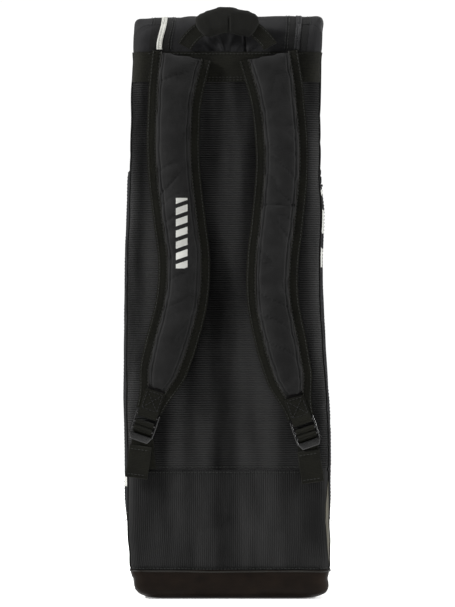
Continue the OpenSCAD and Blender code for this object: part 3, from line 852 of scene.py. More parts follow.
# Coated tape over the right lower edge: dark olive with a soft gloss.
t = column(back_at(0.045), back_at(0.156), 60)
k = 1 - (0.06 + 0.46 * np.sin(PI * np.linspace(0.04, 0.96, 60)) ** 0.7)[:, None] \
    * np.linspace(1, 0, 14)[None]
panel("edge_guard_tape", t, 1.0 + 0 * (t + k), radius(t) * PI / 2 * k, 0.0006,
      moulded("coated_edge_tape", "#24221a", "#3d3a2e", rough=0.36, specular=0.3, grain=500.0),
      "core", (), proud=0.0008)

# Band stitching above and below, and the seam at the foot of the mesh.
rows = []
for height in (0.6745, 0.7085, 0.6780):
    x = np.linspace(-0.100, 0.100, 500)
    t = np.full(500, back_at(height))
    p, n = on_loft(t, np.sign(x + 1e-9), edge_of(t, np.abs(x)), 0.0013)
    rows.append(stitches(p, n))
for height in (0.1655, 0.1725):
    x = np.linspace(-0.110, 0.110, 500)
    t = np.full(500, back_at(height))
    p, n = on_loft(t, np.sign(x + 1e-9), edge_of(t, np.abs(x)), 0.0003)
    rows.append(stitches(p, n))
build("back_seam_stitching", rows, THREAD, "core", ())

# Side piping along both upright edges of the strap side.
rows = []
for sign in (-1.0, 1.0):
    t = np.linspace(back_at(0.041), T_SEAM, 300)
    p, n = on_loft(t, sign, radius(t) * PI / 2 * 0.86, 0.0006)
    along = unit(np.gradient(p, axis=0))
    rows.append(swept(p, np.cross(along, n), n, *oblong(0.0030, 0.0026, 12, 1.0)))
build("edge_piping", rows, TAPE_CLOTH, "core", ())


# ---------------------------------------------------------------- opening covers

Z_SPLIT = 0.400
SPLIT_T = front_at(Z_SPLIT)


def cover_bend(sign, name, upper):
    """A cover stays sewn to the base and to the gusset, and swings in between."""
    if upper:
        x = sign * 0.110
        return ("core", f"{name}_cover", (x, HINGE_Y, 0.747), (x, -0.100, 0.700))
    return ("core", f"{name}_cover", (sign * 0.120, 0, 0.100), (sign * 0.120, 0, Z_SPLIT))


def wall_point(sign, y, z):
    """Settled point and normal of the side wall."""
    p = np.stack(np.broadcast_arrays(sign * half_width(z), y, z), -1)
    n = np.zeros_like(p)
    n[..., 0] = sign
    return settle(p, n), n


# depth of the side wall's far edge, and the radius and number of rows of its top corner
LIP_Y, LIP_R, CORNER_ROWS = 0.116, 0.021, 24


def side_wall(sign, z0, z1, rows, cols):
    """Grid over the side wall: depth from the hinge edge to the lip, rounded at the top corner,
    where the last rows follow the quarter circle by equal angles."""
    z = np.linspace(z0, z1, rows)
    if z1 > FRONT_TOP:
        rise = np.sin(np.linspace(0, PI / 2, CORNER_ROWS)) * (z1 - FRONT_TOP)
        z = np.concatenate([np.linspace(z0, FRONT_TOP, rows - CORNER_ROWS, endpoint=False),
                            FRONT_TOP + rise])
    z = z[:, None]
    corner_y = FAR_Y + np.sqrt(np.maximum(LIP_R ** 2 - (z - FRONT_TOP) ** 2, 0))
    far_y = np.where(z < FRONT_TOP, LIP_Y, corner_y)
    y = COVER_Y + (far_y - COVER_Y) * np.linspace(0, 1, cols)[None]
    return wall_point(sign, y, z + 0 * y)


for name, sign in SIDES.items():
    tint, tint_slot = coil_tint(name)
    for upper in (True, False):
        part = "upper" if upper else "lower"
        bend = cover_bend(sign, name, upper)
        z0, z1 = (Z_SPLIT, SEAM) if upper else (0.0394, Z_SPLIT)
        p, n = side_wall(sign, z0, z1, 90, 70)
        build(f"{name}_side_cloth_{part}", [slab(p, n, 0.004, p[..., 1:])], SHELL_CLOTH, bend,
              f"{name}_side_panel")
        if upper:
            t = np.concatenate([T_SEAM + (T_COVER - T_SEAM) * HINGE_STEPS,
                                np.linspace(T_COVER, SPLIT_T, 190)])[:, None]
        else:
            t = np.concatenate([np.linspace(SPLIT_T, cut, 90),
                                np.linspace(cut, front_at(0.0394), 16)])[:, None]
        r = radius(t)
        start = edge_of(t, 0.098 + 0 * t)
        if upper:
            start[:34] = np.maximum(hinge_edge(t[:34], COVER_Y), start[:34])
        else:
            start[90:] = edge_of(t[90:], 0.0852)
        end = r * PI / 2 + LIP_DEPTH - r
        k = np.concatenate([np.linspace(0, 0.75, 22), np.linspace(0.75, 1, 6)[1:]])[None]
        e = start * (1 - k) + end * k
        panel(f"{name}_lip_cloth_{part}", t, sign + 0 * e, e, 0.004, SHELL_CLOTH, bend,
              f"{name}_cover_lip", weld=1e-6)
        t0, t1 = (T_COVER, SPLIT_T) if upper else (SPLIT_T, cut)
        t = column(t0, t1, 180 if upper else 90)
        e = strip(edge_of(t, 0.0852 + 0 * t)[:, 0], edge_of(t, 0.098 + 0 * t)[:, 0], 8)
        panel(f"{name}_outer_zip_tape_{part}", t, sign + 0 * e, e, 0.0016, TAPE_CLOTH, bend,
              f"{name}_outer_tape", proud=0.0003)
        coil(f"{name}_outer_coil_{part}", t0, t1, 0.0852, 0.0884, sign, tint, bend,
             f"{name}_outer_coil")
        rows = []
        for x0 in (0.0965, 0.0995):
            t = np.linspace(t0, t1, 900)
            p, n = on_loft(t, sign, edge_of(t, x0 + 0 * t), 0.0004)
            rows.append(stitches(p, n))
        build(f"{name}_outer_tape_stitching_{part}", rows, THREAD, bend, ())


def overlay_sheet(sign, z0, z1, lift, rows, cols, low_edge, high_edge):
    """Padded sheet on the side wall: it rises to its full thickness 6 mm in from a free edge."""
    z = np.linspace(z0, z1, rows)[:, None]
    y = np.linspace(-0.140, 0.118, cols)[None]
    p, n = wall_point(sign, y, z + 0 * y)
    edge = np.minimum(y + 0.140, 0.118 - y) + 0 * z
    if low_edge:
        edge = np.minimum(edge, (z - z0) * 0.12)
    if high_edge:
        edge = np.minimum(edge, z1 - z)
    rise = 0.0009 + (lift - 0.0009) * np.sqrt(ease(edge / 0.006))
    rise = rise + 0.0005 * noise(p, 0.05, 41) * ease(edge / 0.02)
    return p + n * rise[..., None], n, rise - 0.0002


for name, sign in SIDES.items():
    top = 0.560 if name == "left" else 0.536
    node = "left_overlay" if name == "left" else "right_pocket_panel"
    for z0, z1, upper in ((0.095, Z_SPLIT, False), (Z_SPLIT, top, True)):
        part = "upper" if upper else "lower"
        p, n, thick = overlay_sheet(sign, z0, z1, 0.004, 110, 90, not upper, upper)
        build(f"{name}_printed_overlay_{part}", [slab(p, n, thick, p[..., 1:])],
              PRINTED_LOW if name == "left" else PRINTED,
              cover_bend(sign, name, upper), node)
        rows = []
        for y0 in (-0.136, 0.114):
            z = np.linspace(z0 + (0.004 if not upper else 0), z1 - (0.004 if upper else 0), 500)
            q, m = wall_point(sign, y0 + 0 * z, z)
            rows.append(stitches(q + m * 0.0036, m))
        y = np.linspace(-0.136, 0.114, 400)
        q, m = wall_point(sign, y, (z1 - 0.004 if upper else z0 + 0.004) + 0 * y)
        rows.append(stitches(q + m * 0.0036, m))
        build(f"{name}_overlay_stitching_{part}", rows, THREAD, cover_bend(sign, name, upper), ())

# Pocket zip above the right overlay: tape, corrugated coil and two rows of stitches.
z = np.linspace(0.5362, 0.560, 12)[:, None]
y = np.linspace(-0.140, 0.118, 120)[None]
p, n = wall_point(1.0, y, z + 0 * y)
build("pocket_zip_tape", [slab(p + n * 0.0022, n, 0.002, p[..., 1:])], TAPE_CLOTH, "right_cover",
      "right_pocket_zip")
y = np.linspace(-0.132, 0.110, 520)[None]
z = np.linspace(0.5452, 0.5508, 9)[:, None]
p, n = wall_point(1.0, y, z + 0 * y)
side_k = np.linspace(0, 1, 9)[:, None]
ridge = np.abs(np.sin(PI * (y + 0.0011 * (side_k > 0.5)) / COIL_PITCH)) ** 0.6
arch = np.sqrt(np.sin(PI * (0.08 + 0.84 * side_k))) \
    * (1 - 0.7 * np.exp(-((side_k - 0.5) / 0.07) ** 2))
build("pocket_zip_coil", [slab(p + n * (0.0024 + (0.0005 + 0.0008 * ridge) * arch)[..., None], n,
                               0.0012, p[..., 1:])], BLACK_COIL, "right_cover", ())
y = np.linspace(-0.138, 0.116, 400)
rows = []
for height in (0.5585, 0.5385):
    q, m = wall_point(1.0, y, height + 0 * y)
    rows.append(stitches(q + m * 0.0024, m))
build("pocket_zip_stitching", rows, THREAD, "right_cover", ())

# Foil liner inside the left cover, quilted with slow pillows.
for z0, z1, upper in ((0.060, Z_SPLIT, False), (Z_SPLIT, 0.690, True)):
    z = np.linspace(z0, z1, 120)[:, None]
    y = np.linspace(-0.140, 0.112, 90)[None]
    p, n = wall_point(-1.0, y, z + 0 * y)
    crease = 0.0006 * noise(p, 0.018, 51) + 0.0006
    inside = p - n * 0.0043
    build(f"foil_liner_{'upper' if upper else 'lower'}",
          [slab(inside, n, 0.0014 + crease, p[..., 1:])], FOIL,
          cover_bend(-1.0, "left", upper), "left_thermal_liner")


# ---------------------------------------------------------------- local frames

def turned(centre, degrees):
    """Local frame turned about Y: x goes across, +z back up the strap."""
    a = math.radians(degrees)
    turn = np.array([[math.cos(a), 0, math.sin(a)], [0, 1, 0], [-math.sin(a), 0, math.cos(a)]])
    return lambda p: np.asarray(p, float) @ turn.T + np.array(centre)


def placed(part, put):
    """A closed shell moved by a placing function."""
    return put(part[0]), part[1], part[2]


def mm(*values):
    """Millimetres to metres, as an array."""
    return np.array(values, float) / 1000


def hoop(r_in, r_out, length, n=28):
    """Ring about the X axis: a soft-cornered section carried round a circle."""
    a, b = oblong(length, r_out - r_in, 12, 0.5)
    turn = np.arange(n)[:, None] / n * 2 * PI
    r = (r_in + r_out) / 2 + b[None]
    p = np.stack([a[None] + 0 * turn, r * np.cos(turn), r * np.sin(turn)], -1)
    uv = np.stack(np.broadcast_arrays(a[None], turn * r_out), -1)
    return p.reshape(-1, 3), quads(n, 12, True, True), uv.reshape(-1, 2)


def each(path, direction):
    """The same direction at every point of a path."""
    return np.tile(np.array(direction, float), (len(path), 1))


ACROSS, TO_STRAPS, TO_FAR_SIDE = (1, 0, 0), (0, -1, 0), (0, 1, 0)


def rod(a, b, r, square=1.0, wide=None):
    """Straight bar between two points."""
    path = np.linspace(a, b, 5)
    across = np.cross(unit(path[-1] - path[0]), TO_FAR_SIDE)
    return swept(path, each(path, across), each(path, TO_FAR_SIDE),
                 *oblong(wide or r * 2, r * 2, 18, square))


def folded(points):
    """Path in the YZ plane through points in millimetres, with its across and outer directions."""
    yz = np.array(points) / 1000
    path = np.stack([0 * yz[:, 0], yz[:, 0], yz[:, 1]], -1)
    wide = each(path, ACROSS)
    return path, wide, np.cross(unit(np.gradient(path, axis=0)), wide)


def crossed_box(half, z0, z1, depth):
    """Four sides and two diagonals of a sewn box at a depth, in millimetres, as paths."""
    box = mm(*[(-half, z0), (half, z0), (half, z1), (-half, z1), (-half, z0)])
    k = np.linspace(0, 1, 24)[:, None]
    for a, b in [*zip(box[:-1], box[1:]), (box[0], box[2]), (box[1], box[3])]:
        yield np.insert(a * (1 - k) + b * k, 1, depth / 1000, axis=1)


# ---------------------------------------------------------------- zip sliders and pullers

def slider_shells(half_w, z0, z1):
    """Slider: domed plate, two lugs, the pin between them and a nose towards the closed end."""
    middle = (z0 + z1) / 2
    shells = [lump(mm(0, -3.3, middle), mm(half_w, 0.8, (z1 - z0) / 2), 0.32, 12, 28),
              lump(mm(0, -2.9, middle), mm(half_w * 0.55, 0.55, (z1 - z0) * 0.38), 0.5, 12, 24),
              rod(mm(-3.2, 0, 0), mm(3.2, 0, 0), 0.0008)]
    for s in (-1, 1):
        shells.append(lump(mm(s * 3.1, -0.45, 0), mm(0.7, 2.05, 1.6), 0.4, 10, 16))
    return shells


def puller_shells():
    """Puller: barrel on the pin, neck, a long tab and five grip ribs on each face."""
    shells = [hoop(0.0011, 0.0019, 0.0038), lump(mm(0, 0, -3.3), mm(1.9, 0.65, 1.9), 0.3, 10, 16),
              lump(mm(0, 0, -16.1), mm(4.0, 0.62, 11.9), 0.42, 20, 28)]
    for z in (-10, -13, -16, -19, -22):
        for s in (-1, 1):
            shells.append(lump(mm(0, s * 0.52, z), mm(2.7, 0.26, 0.55), 0.5, 8, 14))
    return shells


for name, sign in SIDES.items():
    for place, height, z0, z1 in (("upper", 0.566, -16, 6), ("lower", 0.533, -6, 16)):
        put = lambda p, s=sign, h=height: p + np.array([s * 0.085, 0.1714, h])
        build(f"{name}_{place}_cast_slider", [placed(s, put) for s in slider_shells(5.2, z0, z1)],
              ZINC, f"{name}_{place}_slider", f"{name}_{place}_slider")
        build(f"{name}_{place}_soft_puller", [placed(s, put) for s in puller_shells()], PULLER,
              f"{name}_{place}_puller", f"{name}_{place}_puller")
put = lambda p: np.stack([p[:, 1] + half_width(0.548) + 0.0089, 0.098 - p[:, 0], p[:, 2] + 0.548],
                         -1)
build("pocket_cast_slider", [placed(s, put) for s in slider_shells(8, -5, 5)], ZINC,
      "pocket_slider", "pocket_slider")
build("pocket_soft_puller", [placed(s, put) for s in puller_shells()], PULLER, "pocket_puller",
      "pocket_puller")


# ---------------------------------------------------------------- padded cloth

def raw(name, parts):
    """Unfinished mesh object from closed shells."""
    points = np.concatenate([p.reshape(-1, 3) for p, _, _ in parts])
    start, faces = 0, []
    for p, f, _ in parts:
        faces.append(np.asarray(f) + start)
        start += len(p.reshape(-1, 3))
    mesh = bpy.data.meshes.new(name)
    mesh.from_pydata(points.tolist(), [], np.concatenate(faces).tolist())
    work = bmesh.new()
    work.from_mesh(mesh)
    bmesh.ops.remove_doubles(work, verts=work.verts, dist=1e-6)
    bmesh.ops.recalc_face_normals(work, faces=work.faces)
    work.to_mesh(mesh)
    work.free()
    return in_scene(name, mesh)


def baked(obj):
    """The mesh as its modifiers leave it, with no modifier left on the object."""
    graph = bpy.context.evaluated_depsgraph_get()
    mesh = bpy.data.meshes.new_from_object(obj.evaluated_get(graph))
    obj.modifiers.clear()
    old, obj.data = obj.data, mesh
    bpy.data.meshes.remove(old)


def subdivided(obj):
    """One level of subdivision, applied."""
    smooth = obj.modifiers.new("smooth", "SUBSURF")
    smooth.levels = smooth.render_levels = 1
    baked(obj)


def points_of(mesh):
    """Vertex positions and normals of a mesh."""
    co = np.empty(len(mesh.vertices) * 3)
    mesh.vertices.foreach_get("co", co)
    no = np.empty(len(mesh.vertices) * 3)
    mesh.vertices.foreach_get("normal", no)
    return co.reshape(-1, 3), no.reshape(-1, 3)


def move_points(mesh, p):
    """Write vertex positions back."""
    mesh.vertices.foreach_set("co", p.astype(np.float32).ravel())
    mesh.update()


def puff(pads):
    """Inflate padded cloth together: each pad is voxel remeshed, its held points are pinned, the
    cloth runs 20 frames under inner pressure without gravity, and no point travels further than
    the pad's cap.  Then one subdivision smooths it.  pads are (object, voxel, cap, held)."""
    for obj, voxel, *_ in pads:
        grid = obj.modifiers.new("grid", "REMESH")
        grid.mode, grid.voxel_size, grid.adaptivity = "VOXEL", voxel, 0.0
        baked(obj)
    before = [points_of(obj.data)[0] for obj, *_ in pads]
    for (obj, *_, held), rest in zip(pads, before):
        pins = obj.vertex_groups.new(name="pins")
        pins.add(np.nonzero(held(rest))[0].tolist(), 1.0, "REPLACE")
        sim = obj.modifiers.new("puff", "CLOTH")
        sim.settings.use_pressure = True
        sim.settings.uniform_pressure_force = 4.0
        sim.settings.effector_weights.gravity = 0.0
        sim.settings.vertex_group_mass = "pins"
        sim.settings.quality = 6
        sim.collision_settings.use_collision = False
    scene = bpy.context.scene
    for frame_number in range(1, 21):
        scene.frame_set(frame_number)
    for (obj, _, cap, _), rest in zip(pads, before):
        baked(obj)
        now = points_of(obj.data)[0]
        step = now - rest
        length = np.linalg.norm(step, axis=1, keepdims=True)
        move_points(obj.data, rest + step * np.minimum(1, cap / np.maximum(length, 1e-9)))
        obj.vertex_groups.clear()
    scene.frame_set(1)
    for obj, *_ in pads:
        subdivided(obj)


def finish_pad(obj, shape, material, body, node):
    """Wrinkles, channels and seams go in after the puffing; then smooth shading, material and body,
    and the imported part is hidden.
    """
    subdivided(obj)
    p, n = points_of(obj.data)
    move_points(obj.data, p + n * shape(p, n)[:, None])
    obj.data.shade_smooth()
    obj.data.materials.clear()
    obj.data.materials.append(material)
    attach(obj, body)
    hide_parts(node)


# ---------------------------------------------------------------- shoulder straps

# strap centrelines in millimetres; buckle bars, folded ends and anchor webbing in metres
STRAP_LINES = {
    "left": [(-54, 735), (-58, 713), (-68, 648), (-70, 571), (-62, 493), (-56, 441),
             (-59, 389), (-72, 336), (-88, 283), (-101.5, 245.2)],
    "right": [(49, 735), (53, 708), (65, 648), (71, 571), (65, 493), (59, 441), (59, 389),
              (69, 336), (82, 283), (95, 237.2)],
}
BARS = {"left": (-0.1035, -0.171, 0.2395), "right": (0.097, -0.171, 0.2315)}
HEMS = {"left": (-0.115, -0.1698, 0.1795), "right": (0.108, -0.1698, 0.1735)}
# window, pitch and slant of the bars printed on the left cushion
STRAP_BARS = (-0.0665, -0.0515, 0.430, 0.521, 0.0145, -0.35)
FEET = {"left": ((-0.1048, 0.170), (-0.1095, 0.222)), "right": ((0.105, 0.170), (0.1028, 0.216))}


def strap_centre(name):
    """Strap centreline in the XZ plane: a cubic through each four control points, resampled to
    3 mm, with unit normals towards +X and half widths."""
    c = np.array(STRAP_LINES[name], float) / 1000
    k = np.arange(len(c) - 1)
    a, b, d, f = c[np.maximum(k - 1, 0)], c[k], c[k + 1], c[np.minimum(k + 2, len(c) - 1)]
    t = np.linspace(0, 1, 20, endpoint=False)[None, :, None]
    a, b, d, f = (v[:, None] for v in (a, b, d, f))
    curve = 0.5 * (2 * b + (d - a) * t + (2 * a - 5 * b + 4 * d - f) * t ** 2
                   + (3 * b - a - 3 * d + f) * t ** 3)
    curve = np.concatenate([curve.reshape(-1, 2), c[-1:]])
    run = np.concatenate([[0], np.cumsum(np.linalg.norm(np.diff(curve, axis=0), axis=1))])
    start = np.interp(-0.7062, -curve[:, 1], run)
    s = np.linspace(start, run[-1], int((run[-1] - start) / 0.003))
    line = np.stack([np.interp(s, run, curve[:, 0]), np.interp(s, run, curve[:, 1])], -1)
    go = unit(np.gradient(line, axis=0))
    z = line[:, 1] * 1000
    low = np.where(z > 330, 33 + (z - 330) / 310, np.maximum(27, 27 + (z - 250) * 6 / 80))
    half = np.where(z > 640, 34 + (z - 640) * 4.5 / 68, low) / 1000
    narrow = ease((s - s[-1] + 0.058) / 0.058)
    half = half * (1 - narrow) + 0.0172 * narrow
    return s - start, line, np.stack([-go[:, 1], go[:, 0]], -1), half


def strap_grid(line, across, offsets, y):
    """Points at offsets (rows by columns) from the centreline, at depth y."""
    flat = line[:, None] + across[:, None] * offsets[..., None]
    return np.stack([flat[..., 0], np.broadcast_to(y, offsets.shape), flat[..., 1]], -1)


def toward_back(shape):
    """Normals of a strap's outer face, which looks towards -Y."""
    n = np.zeros((*shape, 3))
    n[..., 1] = -1
    return n


pads = []
strap_lines = {name: strap_centre(name) for name in SIDES}
for name in SIDES:
    s, line, across, half = strap_lines[name]
    keep = s < s[-1] - 0.0275
    w = half[keep] - 0.0113
    u = np.sin(np.linspace(-1, 1, 17) * PI / 2)[None]
    ends = ease((s[keep] + 0.004) / 0.016) * ease((s[keep][-1] - s[keep] + 0.003) / 0.014)
    crown = 0.0015 + 0.0078 * np.sqrt(np.maximum(1 - np.abs(u) ** 3.2, 0)) * ends[:, None]
    front = strap_grid(line[keep], across[keep], u * w[:, None], -0.1702 - crown)
    back = front.copy()
    back[..., 1] = -0.1702
    thick = (back[..., 1] - front[..., 1])
    shell = slab(front, toward_back(front.shape[:2]), thick, front[..., :2])
    pads.append((raw(f"{name}_strap_cushion", [shell]), 0.004, 0.0042,
                 lambda p: p[:, 1] > -0.1722))


# ---------------------------------------------------------------- grips of both handles

ARCH = np.array([0.0, -0.169, 0.686])


def arch_point(angle, r, y):
    """Point of the top handle: angle from straight up, distance from the arch centre."""
    return np.stack(np.broadcast_arrays(ARCH[0] + r * np.sin(angle), ARCH[1] + y,
                                        ARCH[2] + r * np.cos(angle)), -1)


angle = np.radians(np.linspace(-36.5, 36.5, 40))[:, None]
turn = (np.arange(36) / 36 * 2 * PI)[None]
fat = np.sqrt(np.clip(1 - (np.abs(angle) / math.radians(36.5)) ** 10, 0.0001, 1))
r = 0.0652 + 0.0180 * fat * np.sign(np.cos(turn)) * np.abs(np.cos(turn)) ** 0.75
y = 0.0056 * fat * np.sign(np.sin(turn)) * np.abs(np.sin(turn)) ** 0.8
p = arch_point(angle, r, y)
p = np.concatenate([p[:1].mean(1, keepdims=True) + 0 * p[:1], p,
                    p[-1:].mean(1, keepdims=True) + 0 * p[-1:]])
grip_top = raw("top_grip_cushion", [(p, quads(42, 36, wrap_m=True), p[..., :2])])
pads.append((grip_top, 0.004, 0.0016, lambda p: np.abs(np.arctan2(p[:, 0], p[:, 2] - 0.686))
             > math.radians(35)))
grip_front = raw("front_grip_cushion", [lump((0, 0.1785, 0.410), (0.0160, 0.0040, 0.0475), 0.45,
                                             30, 32)])
pads.append((grip_front, 0.004, 0.0014, lambda p: np.abs(p[:, 2] - 0.410) > 0.0455))
puff(pads)


def off_centre(name, p):
    """Nearest place on a strap's centreline for each point, and the distance across from it."""
    _, line, across, _ = strap_lines[name]
    near = np.argmin((p[:, 2][:, None] - line[:, 1][None]) ** 2
                     + (p[:, 0][:, None] - line[:, 0][None]) ** 2, axis=1)
    return near, ((p[:, [0, 2]] - line[near]) * across[near]).sum(1)


def trim_pad(obj, name):
    """Cut the swollen sides back to the sewn line: no point lies further from the centreline
    than the pad's half width there."""
    _, _, across, half = strap_lines[name]
    p, _ = points_of(obj.data)
    near, off = off_centre(name, p)
    limit = half[near] - 0.0122
    over = np.clip(off, -limit, limit) - off
    p[:, [0, 2]] += across[near] * over[:, None]
    move_points(obj.data, p)


def strap_shape(name):
    """Wrinkles and slanted creases across the strap, an edge channel, and on the right one a
    cross seam."""
    s, _, _, half = strap_lines[name]

    def shape(p, n):
        """Height of the cushion's surface over its puffed shape at each point."""
        near, off = off_centre(name, p)
        run = s[near]
        face = ease((-n[:, 1] - 0.1) / 0.5)
        seed = 61 if name == "left" else 62
        q = np.stack([off, 0 * off, run + 0.35 * off], -1)
        bend = 0.0012 * noise(q, (0.05, 1, 0.012), seed) \
            + 0.0009 * noise(q, (0.03, 1, 0.03), seed + 5)
        slant = np.stack([off, 0 * off, run + (0.6 if name == "left" else -0.6) * off], -1)
        bend -= 0.0014 * (1 - np.abs(noise(slant, (0.045, 1, 0.020), seed + 9))) ** 5
        edge = half[near] - 0.0125 - np.abs(off)
        channel = -0.0011 * np.exp(-((edge - 0.0035) / 0.0011) ** 2)
        seam = -0.0022 * np.exp(-((p[:, 2] - 0.512) / 0.0020) ** 2) if name == "right" else 0.0
        return (bend + channel + seam) * face

    return shape


# Brushed polyester over foam: near black and matt, with printed bars on the left cushion.
for (cushion, *_), name in zip(pads, SIDES):
    prefix, bars = ("printed_", STRAP_BARS) if name == "left" else ("", None)
    trim_pad(cushion, name)
    finish_pad(cushion, strap_shape(name),
               cloth(f"{prefix}strap_cushion_cloth", "#0b0b0b", "#212121", thread=0.0013,
                     sheen=0.03, on="object", bars=bars),
               f"{name}_strap", f"{name}_strap_pad")


def grip_shape(p, n):
    """Gathers of the top grip: folds along the arch, and the butted seam in its middle."""
    around = np.arctan2(p[:, 0], p[:, 2] - 0.686)
    q = np.stack([around * 0.07, p[:, 1], np.hypot(p[:, 0], p[:, 2] - 0.686)], -1)
    folds = 0.0008 * noise(q, (0.020, 0.02, 0.006), 71) \
        + 0.0005 * noise(q, (0.007, 0.02, 0.02), 72)
    seam = -0.0020 * np.exp(-((p[:, 0] - 0.002) / 0.0011) ** 2) * ease((0.757 - p[:, 2]) / 0.005)
    return folds + seam


# Plain woven polyester over foam on both grips: matt, greenish black.
GRIP_CLOTH = cloth("grip_cushion_cloth", "#080807", "#1c1c19", thread=0.0013, on="object")
finish_pad(grip_top, grip_shape, GRIP_CLOTH, "top_handle", "top_handle_grip")
finish_pad(grip_front, lambda p, n: 0.0005 * noise(p, (0.02, 0.02, 0.007), 73), GRIP_CLOTH, "core",
           "front_handle_grip")

for name, sign in SIDES.items():
    s, line, across, half = strap_lines[name]
    body = f"{name}_strap"
    u = np.linspace(-1, 1, 15)[None]
    ripple = 0.0004 * noise(np.stack([u * half[:, None], 0 * u + 0 * half[:, None],
                                      s[:, None] + 0 * u], -1), (0.02, 1, 0.03), 81)
    p = strap_grid(line, across, u * half[:, None], -0.1698)
    p[..., 1] += ripple
    uv = np.stack(np.broadcast_arrays(u * half[:, None], s[:, None]), -1)
    build(f"{name}_strap_web", [slab(p, toward_back(p.shape[:2]), 0.0026, uv)], STRAP_CLOTH, body,
          f"{name}_strap_backing")
    rows, threads, edging = [], [], []
    for edge in (-1, 1):
        k = np.linspace(0, 1, 9)[None]
        off = edge * np.maximum(half[:, None] + 0.0003 - 0.0123 * k, 0.004)
        p = strap_grid(line, across, off, -0.1700)
        hump = 0.0011 * np.sqrt(np.sin(PI * (0.06 + 0.90 * k)))
        wave_y = 0.0004 * noise(p, (0.03, 1, 0.02), 82)
        p[..., 1] -= hump + wave_y
        uv = np.stack(np.broadcast_arrays(s[:, None], off), -1)[..., ::-1]
        rows.append(slab(p, toward_back(p.shape[:2]), 0.0009, uv))
        cord = s < s[-1] - 0.030
        q = strap_grid(line, across, (edge * (half - 0.0121))[:, None], -0.1716)[cord, 0]
        out = each(q, TO_STRAPS)
        edging.append(swept(q, np.cross(unit(np.gradient(q, axis=0)), out), out,
                            *oblong(0.0013, 0.0016, 10, 1.0)))
        for inset in (0.0016, 0.0105):
            q = strap_grid(line, across, (edge * (half - inset))[:, None], -0.1713)[:, 0]
            threads.append(stitches(q, each(q, TO_STRAPS)))
    build(f"{name}_strap_binding", rows, WEBBING, body, ())
    build(f"{name}_strap_stitching", threads, THREAD, body, ())
    build(f"{name}_strap_edging", edging, PIPING, body, ())

    # Webbing patch sewn to the strap end, turned round the top bar of the buckle.
    put = turned(BARS[name], -sign * 19)
    path, wide, out = folded(
        [(-1.15, 33.6), (-1.2, 26), (-1.2, 14), (-1.3, 8), (-2.2, 4), (-2.9, 0.6), (-2.55, -1.4),
         (-1.45, -2.5), (0, -2.9), (1.45, -2.5), (2.55, -1.4), (2.9, 0.6), (2.0, 3.0), (0.6, 4.6)])
    shell = swept(path, wide, out, *oblong(0.0256, 0.0013, 24, 0.25))
    build(f"{name}_bar_loop", [placed(shell, put)], WEBBING, body, f"{name}_strap_patch")
    threads = [stitches(put(q), each(q, TO_STRAPS), width=0.0008)
               for q in crossed_box(10.4, 8, 31, -1.92)]
    build(f"{name}_box_stitching", threads, BLACK_COIL, body, ())

    # Ladder-lock buckle: barrel-curved rails, top bar, two cross bars and a tapered lip.
    shells = [rod(mm(-14.6, 0, 0), mm(14.6, 0, 0), 0.0018),
              rod(mm(-14.4, 0, -10.8), mm(14.4, 0, -10.8), 0.0013, square=0.5, wide=0.0034),
              rod(mm(-14.4, 0, -18.8), mm(14.4, 0, -18.8), 0.0013, square=0.5, wide=0.0034),
              lump(mm(0, -0.35, -30.4), mm(16.0, 1.8, 4.6), 0.16, 16, 48, 0.28)]
    z = np.linspace(-27.2, 3.6, 24)
    bow = 0.5 * np.cos((z + 11.8) / 15.6 * PI / 2)
    for edge in (-1, 1):
        path = np.stack([edge * (14.9 + bow * 0.9), -0.35 * bow, z], -1) / 1000
        shells.append(swept(path, each(path, ACROSS), each(path, TO_FAR_SIDE),
                            *oblong(0.0023, 0.0043, 20, 0.55)))
    build(f"{name}_ladder_lock", [placed(q, put) for q in shells], ACETAL, f"{name}_buckle",
          f"{name}_buckle")

    # Lower webbing threaded over both cross bars.
    path, wide, out = folded(
        [(0.9, -24.2), (0.8, -22.2), (-0.6, -21.4), (-2.0, -20.4), (-2.35, -18.8), (-2.0, -17.0),
         (-0.2, -15.9), (0.5, -14.8), (-0.2, -13.7), (-2.1, -12.5), (-2.4, -10.8), (-1.7, -8.7),
         (0, -8.0), (1.7, -8.7), (2.3, -10.8), (2.35, -18.0), (2.4, -24.0)])
    tape = oblong(0.0248, 0.0012, 24, 0.25)
    build(f"{name}_threaded_webbing", [placed(swept(path, wide, out, *tape), put)], WEBBING,
          f"{name}_buckle", ())

    # Free webbing below the buckle, and its folded and stitched end.
    put_hem = turned(HEMS[name], -sign * 8)
    top = put(mm(0, 2.9, -23.0))
    low = put_hem(mm(0, 1.2, 17.0))
    k = ease(np.linspace(0, 1, 14))[:, None]
    path = top * (1 - k) + low * k
    path[:, 1] = -0.1680
    wide = np.cross(unit((low - top) * [1, 0, 1]), TO_STRAPS)
    shell = swept(path, each(path, wide), each(path, TO_STRAPS), *tape)
    build(f"{name}_free_webbing", [shell], WEBBING,
          (f"{name}_buckle", f"{name}_tail", tuple(path[0]), tuple(path[-1])),
          f"{name}_tail_webbing")
    z = np.linspace(-21.3, 21.3, 34)
    swell = np.sqrt(np.clip(1 - (np.abs(z) / 21.4) ** 10, 0.02, 1)) * (1 + 0.05 * np.sin(z * 0.5))
    a, b = oblong(0.0290, 0.0049, 28, 0.25)
    path = np.stack([0 * z, 0 * z, z], -1) / 1000
    shell = swept(path, each(path, ACROSS), each(path, TO_STRAPS),
                  a[None] + 0 * z[:, None], b[None] * swell[:, None])
    build(f"{name}_folded_end", [placed(shell, put_hem)], WEBBING, f"{name}_tail",
          f"{name}_tail_hem")
    threads = []
    for height in (-16.5, 16.0):
        q = put_hem(np.stack([np.linspace(-13.0, 13.0, 20), np.full(20, -2.5),
                              np.full(20, float(height))], -1) / 1000)
        threads.append(stitches(q, each(q, TO_STRAPS), width=0.0008))
    build(f"{name}_folded_end_stitching", threads, THREAD, f"{name}_tail", ())

